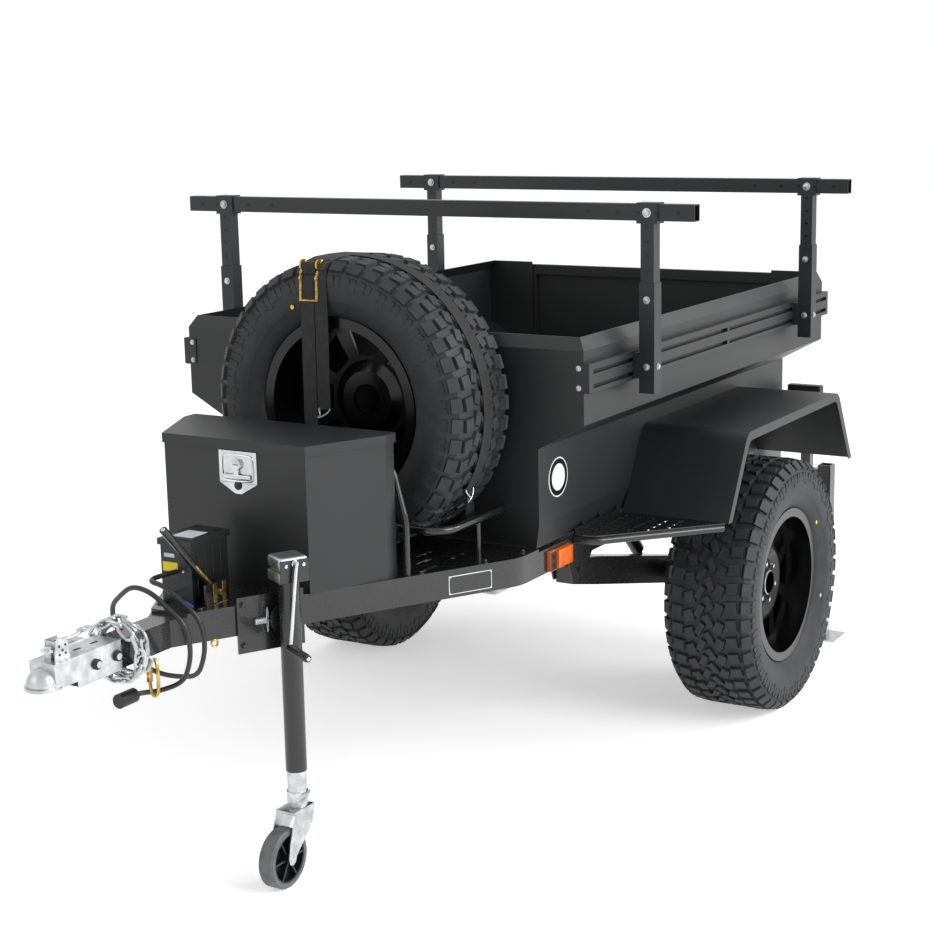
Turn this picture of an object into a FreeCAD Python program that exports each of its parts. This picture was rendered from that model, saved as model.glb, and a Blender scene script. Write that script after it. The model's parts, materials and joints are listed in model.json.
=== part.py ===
import FreeCAD, Part
import math
import os
import re
import Sketcher

# Off-road box trailer. Millimetres, +X towards the coupler, +Y the trailer's left, +Z up.
# The origin is on the ground, midway between the coupler's nose and the rear feet.

SIZES = {
    # wheels
    "axleX": -910, "tyreRadius": 444.5, "tyreWidth": 318, "wheelY": 810, "beadRadius": 256,
    "rimHalf": 127, "flangeRadius": 270, "barrelRadius": 248, "barrelInner": 240,
    "dishY": 36, "dishThick": 9, "boreRadius": 48, "ridgeRadius": 120, "windowInner": 132,
    "windowOuter": 214, "windowHalfIn": 34, "windowHalfOut": 62, "windowCount": 8,
    # tub
    "frontX": 251, "rearX": -1753, "sheet": 3, "wideHalf": 737, "lowHalf": 582, "floorHalf": 572,
    "floorZ": 801, "creaseZ": 873, "waistZ": 1110, "shoulderZ": 1193, "rimZ": 1415, "topZ": 1452,
    "rimInset": 22, "gateHalf": 556, "gateX": -1783, "gateThick": 22, "gateTop": 1440,
    "gateGap": 8, "gateBorder": 40, "cornerHalf": 530,
    # strut rails along the tub's sides
    "strutThick": 20, "strutLow": 1290, "strutTall": 88, "strutRear": -1768, "strutMid": -797,
    "slotTall": 13, "slotDeep": 14, "slotLow": 1303, "slotHigh": 1346, "strutRib": 16,
    # frame
    "railDeep": 76, "railWide": 50.8, "railTop": 791, "bendX": 368, "noseRailX": 1334,
    "innerBendX": 354.8, "innerNoseX": 1230.8, "tongueHalf": 38.1, "tongueFront": 1700,
    "tongueRear": 300, "wall": 4, "deckThick": 3, "deckLip": 10, "deckFront": 1290,
    "deckFrontHalf": 63, "deckRearX": 255, "beamWide": 60, "beamDeep": 50,
    # fenders and steps
    "fenderOut": 958, "fenderIn": 585, "fenderTop": 1064, "fenderLow": 793, "fenderFoot": 587,
    "fenderRun": 430, "fenderLip": 30, "fenderCorner": 60,
    "stepTubeZ": 780, "stepTubeRadius": 12.5, "stepTop": 797, "stepThick": 4, "stepFront": 28,
    "stepRear": -316, "stepBend": 45,
    # tongue box
    "boxFront": 979, "boxFrontHalf": 249, "boxSlantX": 746, "boxSlantHalf": 358, "boxRear": 700,
    "boxTop": 1215, "lidTop": 1222, "lidLip": 28, "lidOver": 5, "boxWall": 2.5,
    # jack
    "jackX": 1078, "jackY": 250, "jackRadius": 30, "jackBore": 27.4, "jackLow": 318,
    "jackHigh": 868, "legRadius": 27, "casterX": 1158, "casterRadius": 85, "casterHalf": 25,
    "swivelZ": 752, "mountX": 1049.1, "mountY": 198.6, "mountLong": 200, "mountThick": 8,
    "mountTall": 160, "mountLow": 664, "bossRadius": 32, "bossLong": 17, "swivelGap": 0.5,
    "discRadius": 46, "discThick": 4, "headSide": 88, "headTall": 72, "crankZ": 923,
    "crankOut": 14, "crankAway": 29, "crankDrop": 231, "crankRadius": 6, "crankHub": 8,
    "gripRadius": 12, "gripLong": 114,
    # spare wheel and its carrier
    "spareX": 413, "spareY": 60, "spareZ": 1246.5, "ringZ": 915, "ringFront": 600, "ringHalf": 458,
    "postX": 682, "strapWide": 100, "strapY": -43, "strapFoot": 930, "strapThick": 3,
    # rack
    "rackFrontX": -72, "rackRearX": -1425, "rackY": 800, "sleeveSide": 50.8, "sleeveBore": 44.8,
    "sleeveLow": 1248, "sleeveTop": 1586, "stemSide": 44, "stemLow": 1316, "barTop": 1824,
    "barTall": 50.8, "barDeep": 38.1, "barHalf": 953, "barWall": 3, "clampWide": 70,
    # running gear
    "armY": 545, "armWide": 60, "pivotX": -10, "pivotZ": 672, "shockTopX": -500,
    "shockTopZ": 700, "shockLowX": -700, "shockLowZ": 505, "shockY": 500, "shockRadius": 24,
    "shockLong": 150, "shockRod": 9, "shockEye": 16, "shockEyeLong": 30,
    # rear end
    "bumperLow": 747, "bumperX": -1804, "uprightY": 683, "uprightSide": 38, "uprightLow": 600,
    "uprightTop": 925, "footX": -1760, "footY": 768, "footSide": 140,
    # toolbox latch
    "latchY": 16, "latchHalf": 66, "latchTop": 1191, "latchShoulder": 1098, "latchFoot": 1067,
    "latchThick": 4, "gripHalf": 48, "gripZ": 1110, "gripTall": 14, "gripOut": 12,
    "stemHalf": 8, "stemTall": 44,
    # coupler
    "couplerRear": 1535, "couplerNose": 1830, "couplerHalf": 42.5, "couplerTop": 796,
    "couplerLow": 730, "couplerWall": 4,
    "domeReach": 60, "lipTall": 8, "liftRear": 1640, "liftHalf": 14, "liftRise": 22,
    "liftLong": 130, "liftThick": 6, "cheekRear": 1715, "cheekHalf": 10, "cheekLong": 46,
    "cheekTall": 40, "nutZ": 756, "nutRadius": 9, "nutLong": 12,
    "ballRadius": 25.6, "ballX": 1782, "ballZ": 742,
    # tongue fittings
    "batteryRear": 1060, "batteryLong": 160, "chainRear": 1455, "chainLong": 75,
    "chainRadius": 95, "coilRear": 1262, "coilLong": 188, "coilRadius": 165, "coilZ": 752,
    "cableRadius": 7, "leadY": -25, "plugRadius": 20, "plugLong": 62,
    "batteryRight": -78, "batteryWide": 106, "batteryTall": 164, "capLip": 6, "capTall": 18,
    "leverY": 50, "leverRadius": 11, "leverFootX": 1151, "leverFootZ": 830, "leverTopX": 1354,
    "leverTopZ": 1048, "leverPin": 9, "leverBase": 90, "leverBaseTall": 60, "leverBaseThick": 8,
    "leverBaseBack": 30, "leverBaseOut": 10, "leverPinLong": 30, "leverPinIn": 12,
}

document = FreeCAD.newDocument("OffRoadBoxTrailer")
sheet = document.addObject("Spreadsheet::Sheet", "dims")
for row, (alias, value) in enumerate(SIZES.items(), start=1):
    sheet.set("A%d" % row, alias)
    sheet.set("B%d" % row, str(value))
    sheet.setAlias("B%d" % row, alias)
document.recompute()

UP = FreeCAD.Vector(0, 0, 1)
TURNS = {
    "X": FreeCAD.Rotation(FreeCAD.Vector(0, 1, 0), 90),
    "Y": FreeCAD.Rotation(FreeCAD.Vector(1, 0, 0), -90),
    "Z": FreeCAD.Rotation(),
}
pieces = []


def formula(text):
    """Sheet names in text, written as FreeCAD expressions."""
    return re.sub(r"[A-Za-z]\w*", lambda word: "dims." + word.group(0)
                  if word.group(0) in SIZES else word.group(0), str(text))


def place(item, x, y, z):
    for axis, value in zip("xyz", (x, y, z)):
        item.setExpression("Placement.Base." + axis, formula(value))


def block(name, x, y, z, long, wide, tall):
    """A box from its lowest corner."""
    item = document.addObject("Part::Box", name)
    for side, value in zip(("Length", "Width", "Height"), (long, wide, tall)):
        item.setExpression(side, formula(value))
    place(item, x, y, z)
    return item


def rod(name, x, y, z, radius, height, axis="Z"):
    """A cylinder that starts at a point and runs along an axis."""
    item = document.addObject("Part::Cylinder", name)
    item.setExpression("Radius", formula(radius))
    item.setExpression("Height", formula(height))
    item.Placement.Rotation = TURNS[axis]
    place(item, x, y, z)
    return item


def join(name, *items):
    fused = document.addObject("Part::MultiFuse", name)
    fused.Shapes = list(items)
    return fused


def take(name, base, *tools):
    cut = document.addObject("Part::Cut", name)
    cut.Base = base
    cut.Tool = tools[0] if len(tools) == 1 else join(name + "Tools", *tools)
    return cut


def across(name, source):
    """The same piece on the trailer's other side."""
    twin = document.addObject("Part::Mirroring", name)
    twin.Source = source
    twin.Normal = FreeCAD.Vector(0, 1, 0)
    return twin


def keep(name, item):
    """Marks an object as a finished piece, named for its file."""
    item.Label = name
    pieces.append(item)
    return item


def outline(body, name, plane, offset, points):
    """A closed polygon whose corners are all bound to the sheet."""
    sketch = body.newObject("Sketcher::SketchObject", name)
    sketch.AttachmentSupport = [(find_plane(body, plane), "")]
    sketch.MapMode = "FlatFace"
    sign = "-" if plane == "XZ_Plane" else ""
    sketch.setExpression("AttachmentOffset.Base.z", "%s(%s)" % (sign, formula(offset)))
    count = len(points)
    spots = [FreeCAD.Vector(100 * math.cos(2 * math.pi * step / count),
                            100 * math.sin(2 * math.pi * step / count), 0)
             for step in range(count)]
    for step in range(count):
        sketch.addGeometry(Part.LineSegment(spots[step], spots[(step + 1) % count]), False)
    for step in range(count):
        sketch.addConstraint(Sketcher.Constraint("Coincident", step, 2, (step + 1) % count, 1))
    for step, (across_value, up_value) in enumerate(points):
        for kind, value, start in (("DistanceX", across_value, spots[step].x),
                                   ("DistanceY", up_value, spots[step].y)):
            index = sketch.addConstraint(Sketcher.Constraint(kind, -1, 1, step, 1, start))
            sketch.setExpression("Constraints[%d]" % index, formula(value))
    return sketch


def find_plane(body, role):
    return [item for item in body.Origin.OriginFeatures if item.Role == role][0]


def slab(name, plane, offset, thickness, points, corners=(), radius=None):
    """An outline padded towards the positive axis, with named corners rounded."""
    body = document.addObject("PartDesign::Body", name)
    sketch = outline(body, name + "Outline", plane, offset, points)
    pad = body.newObject("PartDesign::Pad", name + "Pad")
    pad.Profile = sketch
    pad.Reversed = plane == "XZ_Plane"
    pad.setExpression("Length", formula(thickness))
    if corners:
        document.recompute()
        fillet = body.newObject("PartDesign::Fillet", name + "Corners")
        fillet.Base = (pad, corner_edges(pad, sketch, corners))
        fillet.setExpression("Radius", formula(radius))
    return body


def corner_edges(pad, sketch, corners):
    """Names of the padded edges that stand on the given corners of the outline."""
    normal = sketch.Placement.Rotation.multVec(UP)
    spots = [sketch.Placement.multVec(sketch.Geometry[corner].StartPoint) for corner in corners]
    found = []
    for index, edge in enumerate(pad.Shape.Edges, start=1):
        ends = [vertex.Point for vertex in edge.Vertexes]
        for spot in spots:
            if all((end - spot).cross(normal).Length < 0.01 for end in ends):
                found.append("Edge%d" % index)
    return found


def turned(name, points, x, y, z):
    """A profile of (distance along Y, radius) points turned about the Y axis."""
    body = document.addObject("PartDesign::Body", name)
    sketch = outline(body, name + "Profile", "YZ_Plane", 0, points)
    spin = body.newObject("PartDesign::Revolution", name + "Turn")
    spin.Profile = sketch
    spin.ReferenceAxis = (sketch, ["H_Axis"])
    spin.Angle = 360
    place(body, x, y, z)
    return body


def bent_tube(name, points, radius, bend):
    """A round tube along straight runs joined by tangent arcs."""
    item = document.addObject("Part::Feature", name)
    item.Shape = tube_shape(points, radius, bend)
    return item


def tube_shape(points, radius, bend):
    spots = [FreeCAD.Vector(*point) for point in points]
    bends = bend if isinstance(bend, (list, tuple)) else [bend] * (len(spots) - 2)
    lengths = []
    last = spots[0]
    for before, corner, after, turn in zip(spots, spots[1:], spots[2:], bends):
        back = (before - corner).normalize()
        onward = (after - corner).normalize()
        half = back.getAngle(onward) / 2
        reach = turn / math.tan(half)
        enter = corner + back * reach
        leave = corner + onward * reach
        centre = corner + (back + onward).normalize() * (turn / math.sin(half))
        lengths.append(Part.makeCylinder(radius, (enter - last).Length, last, enter - last))
        section = Part.Face(Part.Wire([Part.Circle(enter, back, radius).toShape()]))
        lengths.append(section.revolve(centre, (enter - centre).cross(leave - centre),
                                       180 - math.degrees(2 * half)))
        last = leave
    lengths.append(Part.makeCylinder(radius, (spots[-1] - last).Length, last, spots[-1] - last))
    return lengths[0].fuse(lengths[1:])


# ---- tub ----

def make_tub_side():
    profile = [("floorHalf", "floorZ + sheet"), ("lowHalf", "creaseZ"), ("lowHalf", "waistZ"),
               ("wideHalf", "shoulderZ"), ("wideHalf", "rimZ"),
               ("wideHalf - rimInset", "topZ"), ("wideHalf - rimInset - sheet", "topZ"),
               ("wideHalf - sheet", "rimZ - 1"), ("wideHalf - sheet", "shoulderZ + 2"),
               ("lowHalf - sheet", "waistZ + 2"), ("lowHalf - sheet", "creaseZ"),
               ("floorHalf - sheet", "floorZ + sheet")]
    skin = slab("sideSkin", "YZ_Plane", "rearX", "frontX - rearX - sheet", profile)
    mitre = block("sideMitre", "frontX - 50", "wideHalf - 50", "rimZ", 160, 160, 60)
    mitre.Placement.Rotation = FreeCAD.Rotation(UP, -45)
    left = keep("tub_side_left", take("tubSideLeft", skin, mitre))
    keep("tub_side_right", across("tubSideRight", left))


def make_tub_front():
    half = [("floorHalf", "floorZ"), ("lowHalf", "creaseZ"), ("lowHalf", "waistZ"),
            ("wideHalf", "shoulderZ"), ("wideHalf", "rimZ")]
    other = [("-" + across_value, up_value) for across_value, up_value in reversed(half)]
    plate = slab("frontPlate", "YZ_Plane", "frontX - sheet", "sheet", half + other)
    band = slab("frontBand", "XZ_Plane", "-wideHalf", "2 * wideHalf",
                [("frontX", "rimZ"), ("frontX - rimInset", "topZ"),
                 ("frontX - rimInset - sheet", "topZ"), ("frontX - sheet", "rimZ - 1")])
    left = block("frontMitreLeft", "frontX + 63", "wideHalf + 63", "rimZ - 2", 160, 160, 60)
    left.Placement.Rotation = FreeCAD.Rotation(UP, 135)
    right = across("frontMitreRight", left)
    keep("tub_front_panel", join("tubFront", plate, take("frontBandCut", band, left, right)))


def make_tub_floor():
    floor = block("floorSheet", "rearX", "-floorHalf", "floorZ", "frontX - rearX - sheet",
                  "2 * floorHalf", "sheet")
    keep("tub_floor", floor)


def make_rear_corners():
    """Panels that close the tub's wide shoulders beside the tailgate."""
    left = slab("rearCorner", "YZ_Plane", "rearX - sheet", "sheet",
                [("cornerHalf", "floorZ + sheet"), ("floorHalf", "floorZ + sheet"),
                  ("lowHalf", "creaseZ"), ("lowHalf", "waistZ"), ("wideHalf", "shoulderZ"),
                 ("wideHalf", "rimZ"), ("wideHalf - rimInset", "topZ"), ("cornerHalf", "topZ")])
    keep("tub_rear_corners", join("rearCorners", left, across("rearCornerRight", left)))


def make_tailgate():
    plate = block("gatePlate", "gateX", "-gateHalf", "floorZ + gateGap",
                  "gateThick", "2 * gateHalf", "gateTop - floorZ - gateGap")
    hollow = block("gateHollow", "gateX + sheet", "gateBorder - gateHalf",
                   "floorZ + gateGap + gateBorder", "gateThick", "2 * (gateHalf - gateBorder)",
                   "gateTop - floorZ - gateGap - 2 * gateBorder")
    knuckles = []
    for side, start in (("Left", "300"), ("Right", "-360")):
        knuckles.append(rod("gateKnuckle" + side, "gateX - 8", start,
                            "floorZ + gateGap", 8, 60, "Y"))
    keep("tailgate", join("gateWhole", take("gateShell", plate, hollow), *knuckles))


def make_struts():
    """Slotted rails along the upper sides, which the rack clamps to."""
    bar = block("strutBar", "strutRear", "wideHalf", "strutLow", "frontX - strutRear",
                "strutThick", "strutTall")
    slots = []
    for level in ("slotLow", "slotHigh"):
        for part, start, run in (("Rear", "strutRear + 20", "strutMid - strutRear - 20"),
                                 ("Front", "strutMid + strutRib", "frontX - strutMid - 40")):
            slots.append(block(level + part, start, "wideHalf + strutThick - slotDeep", level,
                               run, "slotDeep + 1", "slotTall"))
    plate = block("strutPlate", "frontX", "wideHalf - 29", "strutLow + 3", "sheet",
                  "strutThick + 29", "strutTall - 3")
    left = keep("side_rail_left", take("strutCut", bar, *slots))
    keep("side_rail_right", across("strutRight", left))
    keep("rail_end_plates", join("strutPlates", plate, across("strutPlateRight", plate)))


# ---- frame ----

def make_frame_rails():
    left = slab("railLeft", "XY_Plane", "railTop - railDeep", "railDeep",
                [("rearX", "lowHalf"), ("bendX", "lowHalf"), ("noseRailX", "tongueHalf"),
                 ("innerNoseX", "tongueHalf"), ("innerBendX", "lowHalf - railWide"),
                 ("rearX", "lowHalf - railWide")], (1, 4), 150)
    keep("frame_rail_left", left)
    keep("frame_rail_right", across("railRight", left))


def make_crossmembers():
    beams = []
    for step, start in enumerate(("160", "pivotX - 30", "axleX - 30", "axleX - 420")):
        whole = block("beam%d" % step, start, "railWide - lowHalf", "railTop - railDeep + 10",
                      "beamWide", "2 * (lowHalf - railWide)", "beamDeep")
        trough = block("beamTrough%d" % step, start + " + wall", "railWide - lowHalf - 1",
                       "railTop - railDeep + 10 + wall", "beamWide",
                       "2 * (lowHalf - railWide) + 2", "beamDeep - 2 * wall")
        beams.append(take("channel%d" % step, whole, trough))
    keep("crossmembers", join("beams", *beams))


def make_tongue():
    outer = block("tongueOuter", "tongueRear", "-tongueHalf", "railTop - 2 * tongueHalf",
                  "tongueFront - tongueRear", "2 * tongueHalf", "2 * tongueHalf")
    inner = block("tongueInner", "tongueRear - 1", "wall - tongueHalf",
                  "railTop - 2 * tongueHalf + wall", "tongueFront - tongueRear + 2",
                  "2 * tongueHalf - 2 * wall", "2 * tongueHalf - 2 * wall")
    keep("tongue_tube", take("tongueTube", outer, inner))


def make_deck():
    half = [("deckRearX", "lowHalf"), ("bendX", "lowHalf"), ("deckFront", "deckFrontHalf")]
    other = [(x_value, "-" + y_value) for x_value, y_value in reversed(half)]
    plate = slab("deckPlate", "XY_Plane", "railTop", "deckLip", half + other, (1, 4), 150)
    inset = [("deckRearX - 5", "lowHalf - 4"), ("bendX - 2", "lowHalf - 4"),
             ("deckFront - 3", "deckFrontHalf - 4")]
    inset_other = [(x_value, "-(%s)" % y_value) for x_value, y_value in reversed(inset)]
    under = slab("deckUnder", "XY_Plane", "railTop - 1", "deckLip - deckThick + 1",
                 inset + inset_other, (1, 4), 146)
    slots = []
    for row_index, (x_value, y_value) in enumerate(((425, 300), (500, 345), (560, 400), (400, 400),
                                                    (1120, 70), (1180, 60))):
        for side in (1, -1):
            slots.append(block("deckSlot%d%s" % (row_index, "LR"[side < 0]), x_value,
                               side * y_value - 7, "railTop", 70, 14, "deckLip + 1"))
    keep("deck_plate", take("deckWhole", plate, under, *slots))


# ---- fenders and steps ----

def make_fenders():
    def arch(name, inset, drop, start, run):
        return slab(name, "XZ_Plane", start, run,
                    [("axleX + fenderFoot - %s" % inset, "fenderLow - %s" % drop),
                     ("axleX + fenderRun - %s * 0.58" % inset, "fenderTop - %s" % inset),
                     ("axleX - fenderRun + %s * 0.58" % inset, "fenderTop - %s" % inset),
                     ("axleX - fenderFoot + %s" % inset, "fenderLow - %s" % drop)],
                    (1, 2), "fenderCorner - %s * 0.8" % inset)

    whole = arch("fenderWhole", "0", "0", "fenderIn - sheet", "fenderOut - fenderIn + sheet")
    hollow = arch("fenderHollow", "sheet", "1", "fenderIn", "fenderOut - fenderIn - sheet")
    mouth = arch("fenderMouth", "fenderLip", "1", "fenderIn + 5", "fenderOut - fenderIn")
    left = keep("fender_left", take("fenderLeft", whole, hollow, mouth))
    keep("fender_right", across("fenderRight", left))


def make_steps():
    """Triangular foot plates ahead of the fenders, edged with a bent round tube."""
    corners = [("stepFront", "lowHalf + 6"), ("stepFront - 12", "lowHalf + 73"),
               ("stepRear", "fenderOut - 9"), ("stepRear", "lowHalf + 6")]
    plate = slab("stepPlate", "XY_Plane", "stepTop - stepThick", "stepThick", corners)
    flange = block("stepFlange", -300, "lowHalf", "stepTop - stepThick", 322, 4, 22)
    holes = []
    for line in range(5):
        for spot in range(7 - line):
            holes.append(block("stepHole%d_%d" % (line, spot), -285 + 42 * spot + 14 * (line % 2),
                               "lowHalf + %d" % (34 + 48 * line), "stepTop - stepThick - 1", 24,
                               12, "stepThick + 2"))
    front, out, height = sheet.stepFront, sheet.lowHalf, sheet.stepTubeZ
    edge = bent_tube("stepEdge", [(front - 4, out + 2, height), (front - 12, out + 70, height),
                                  (sheet.stepRear, sheet.fenderOut - 16, height)],
                     sheet.stepTubeRadius, sheet.stepBend)
    left = keep("step_left", join("stepLeft", take("stepPlateCut", plate, *holes), flange, edge))
    keep("step_right", across("stepRight", left))


# ---- tongue box ----

def box_outline(over):
    half = [("boxRear - %s" % over, "boxSlantHalf + %s" % over),
            ("boxSlantX", "boxSlantHalf + %s" % over),
            ("boxFront + %s" % over, "boxFrontHalf + %s * 0.7" % over)]
    other = [(x_value, "-(%s)" % y_value) for x_value, y_value in reversed(half)]
    return half + other


def make_toolbox():
    outer = slab("boxOuter", "XY_Plane", "floorZ", "boxTop - floorZ", box_outline("0"))
    inner = slab("boxInner", "XY_Plane", "floorZ + boxWall", "boxTop - floorZ",
                 box_outline("(0 - boxWall)"))
    keep("toolbox_body", take("toolboxBody", outer, inner))
    shell = slab("lidOuter", "XY_Plane", "lidTop - lidLip", "lidLip", box_outline("lidOver"))
    under = slab("lidInner", "XY_Plane", "lidTop - lidLip - 1", "lidLip - boxWall + 1",
                 box_outline("(lidOver - boxWall)"))
    rear = block("lidRearSlot", "boxRear - lidOver - 1", "0 - boxSlantHalf",
                 "lidTop - lidLip - 1", "lidOver + 4", "2 * boxSlantHalf", "lidLip - boxWall - 1")
    hinge = rod("lidHinge", "boxRear - lidOver - 4", "-boxSlantHalf", "lidTop - 6", 4,
                "2 * boxSlantHalf", "Y")
    keep("toolbox_lid", join("toolboxLid", take("lidShell", shell, under, rear), hinge))


def make_latch():
    """Stainless pan with a folding T handle, set in the toolbox's front."""
    left, right = "latchY + latchHalf", "latchY - latchHalf"
    pan = slab("latchPan", "YZ_Plane", "boxFront", "latchThick",
               [(left, "latchShoulder"), (left, "latchTop"), (right, "latchTop"),
                (right, "latchShoulder"), ("latchY", "latchFoot")])
    handle = block("latchHandle", "boxFront + latchThick", "latchY - gripHalf", "gripZ",
                   "gripOut", "2 * gripHalf", "gripTall")
    stem = block("latchStem", "boxFront + latchThick", "latchY - stemHalf", "gripZ", "gripOut - 2",
                 "2 * stemHalf", "stemTall")
    keep("toolbox_latch", join("latchWhole", pan, handle, stem))


# ---- spare wheel ----

def tyre_profile():
    return [("0 - rimHalf + 10", "beadRadius"), ("0 - rimHalf + 10", "flangeRadius + 2"),
            ("0 - tyreWidth * 0.45", "beadRadius + 36"),
            ("0 - tyreWidth / 2", "beadRadius + 88"), ("0 - tyreWidth * 0.485", "tyreRadius - 54"),
            ("0 - tyreWidth * 0.43", "tyreRadius - 14"), ("0 - tyreWidth * 0.34", "tyreRadius"),
            ("tyreWidth * 0.34", "tyreRadius"), ("tyreWidth * 0.43", "tyreRadius - 14"),
            ("tyreWidth * 0.485", "tyreRadius - 54"), ("tyreWidth / 2", "beadRadius + 88"),
            ("tyreWidth * 0.45", "beadRadius + 36"), ("rimHalf - 10", "flangeRadius + 2"),
            ("rimHalf - 10", "beadRadius"),
            ("rimHalf - 30", "beadRadius"), ("tyreWidth * 0.39", "beadRadius + 38"),
            ("tyreWidth * 0.43", "beadRadius + 88"), ("tyreWidth * 0.42", "tyreRadius - 62"),
            ("tyreWidth * 0.35", "tyreRadius - 30"), ("0 - tyreWidth * 0.35", "tyreRadius - 30"),
            ("0 - tyreWidth * 0.42", "tyreRadius - 62"), ("0 - tyreWidth * 0.43", "beadRadius + 88"),
            ("0 - tyreWidth * 0.39", "beadRadius + 38"), ("30 - rimHalf", "beadRadius")]


def rim_body(name, x, y, z):
    """Steel rim: barrel, two flanges and a pressed centre with eight windows."""
    body = turned(name, [("0 - rimHalf", "barrelInner"), ("0 - rimHalf", "flangeRadius"),
                         ("9 - rimHalf", "flangeRadius"), ("9 - rimHalf", "barrelRadius"),
                         ("rimHalf - 9", "barrelRadius"), ("rimHalf - 9", "flangeRadius"),
                         ("rimHalf", "flangeRadius"), ("rimHalf", "barrelInner"),
                         ("dishY", "barrelInner"), ("dishY + 14", "ridgeRadius"),
                         ("dishY", "boreRadius + 40"), ("dishY", "boreRadius"),
                         ("dishY - dishThick", "boreRadius"),
                         ("dishY - dishThick", "boreRadius + 40"),
                         ("dishY + 14 - dishThick", "ridgeRadius"),
                         ("dishY - dishThick", "barrelInner")], x, y, z)
    document.recompute()
    window = outline(body, name + "Window", "XZ_Plane", "dishY + 30",
                     [("0 - windowHalfIn", "windowInner"), ("windowHalfIn", "windowInner"),
                      ("windowHalfOut", "windowOuter"), ("0 - windowHalfOut", "windowOuter")])
    pocket = body.newObject("PartDesign::Pocket", name + "Pocket")
    pocket.Profile = window
    pocket.Reversed = True
    pocket.Length = 60
    ring = body.newObject("PartDesign::PolarPattern", name + "Windows")
    ring.Originals = [pocket]
    ring.Axis = ([item for item in body.Origin.OriginFeatures if item.Role == "Y_Axis"][0], [""])
    ring.Angle = 360
    ring.setExpression("Occurrences", formula("windowCount"))
    body.Tip = ring
    return body


def make_wheels():
    tyre = keep("tyre_left", turned("tyreLeft", tyre_profile(), "axleX", "wheelY", "tyreRadius"))
    keep("tyre_right", across("tyreRight", tyre))
    rim = keep("rim_left", rim_body("rimLeft", "axleX", "wheelY", "tyreRadius"))
    keep("rim_right", across("rimRight", rim))
    hub = turned("hubLeft", [("-50", "0"), ("-50", "60"), ("-18", "60"), ("-18", "143"),
                             ("-82", "143"), ("-82", "152"), ("-10", "152"), ("-10", "80"),
                             ("dishY - dishThick", "80"), ("dishY - dishThick", "46"),
                             ("dishY + 20", "46"), ("dishY + 26", "40"), ("dishY + 26", "0")],
                 "axleX", "wheelY", "tyreRadius")
    keep("hub_left", hub)
    keep("hub_right", across("hubRight", hub))


def make_spare():
    """The spare stands with its rim's hollow side forwards."""
    turn = FreeCAD.Rotation(UP, -90)
    tyre = turned("spareTyre", tyre_profile(), "spareX", "spareY", "spareZ")
    tyre.Placement.Rotation = turn
    keep("spare_tyre", tyre)
    rim = rim_body("spareRim", "spareX", "spareY", "spareZ")
    rim.Placement.Rotation = turn.inverted()
    keep("spare_rim", rim)


def make_carrier():
    """Tube ring round the spare's foot, its legs, and the low hoop behind the toolbox."""
    ring = bent_tube("carrierRing", [(251, 458, 915), (600, 458, 915), (600, -458, 915),
                                     (251, -458, 915)], 12.7, 75)
    legs = []
    for side, start in (("Left", "ringHalf"), ("Right", "0 - ringHalf")):
        legs.append(rod("carrierLeg" + side, 405, start, "floorZ", 8, "ringZ - floorZ"))
    hoop = bent_tube("carrierHoop", [(682, 382, 801), (682, 382, 960), (682, 330, 1150),
                                     (682, -330, 1150), (682, -382, 960), (682, -382, 801)],
                     9.5, [150, 90, 90, 150])
    ties = []
    for side, start in (("Left", "300"), ("Right", "-300")):
        ties.append(rod("carrierTie" + side, "ringFront", start, "ringZ", 8,
                        "postX - ringFront + 3", "X"))
    keep("spare_carrier", join("carrierWhole", ring, hoop, *legs, *ties))


def make_straps():
    """Webbing over the spare: down its front face, over its tread and down its back."""
    front = block("strapFront", "spareX + tyreWidth / 2 + 0.5", "strapY", "strapFoot",
                  "strapThick", "strapWide", "spareZ + tyreRadius + 1 - strapFoot")
    over = block("strapOver", "spareX - tyreWidth / 2 - 2", "strapY",
                 "spareZ + tyreRadius + 0.5", "tyreWidth + 5.5", "strapWide", "strapThick")
    keep("spare_straps", join("strapWhole", front, over))


# ---- jack ----

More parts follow.
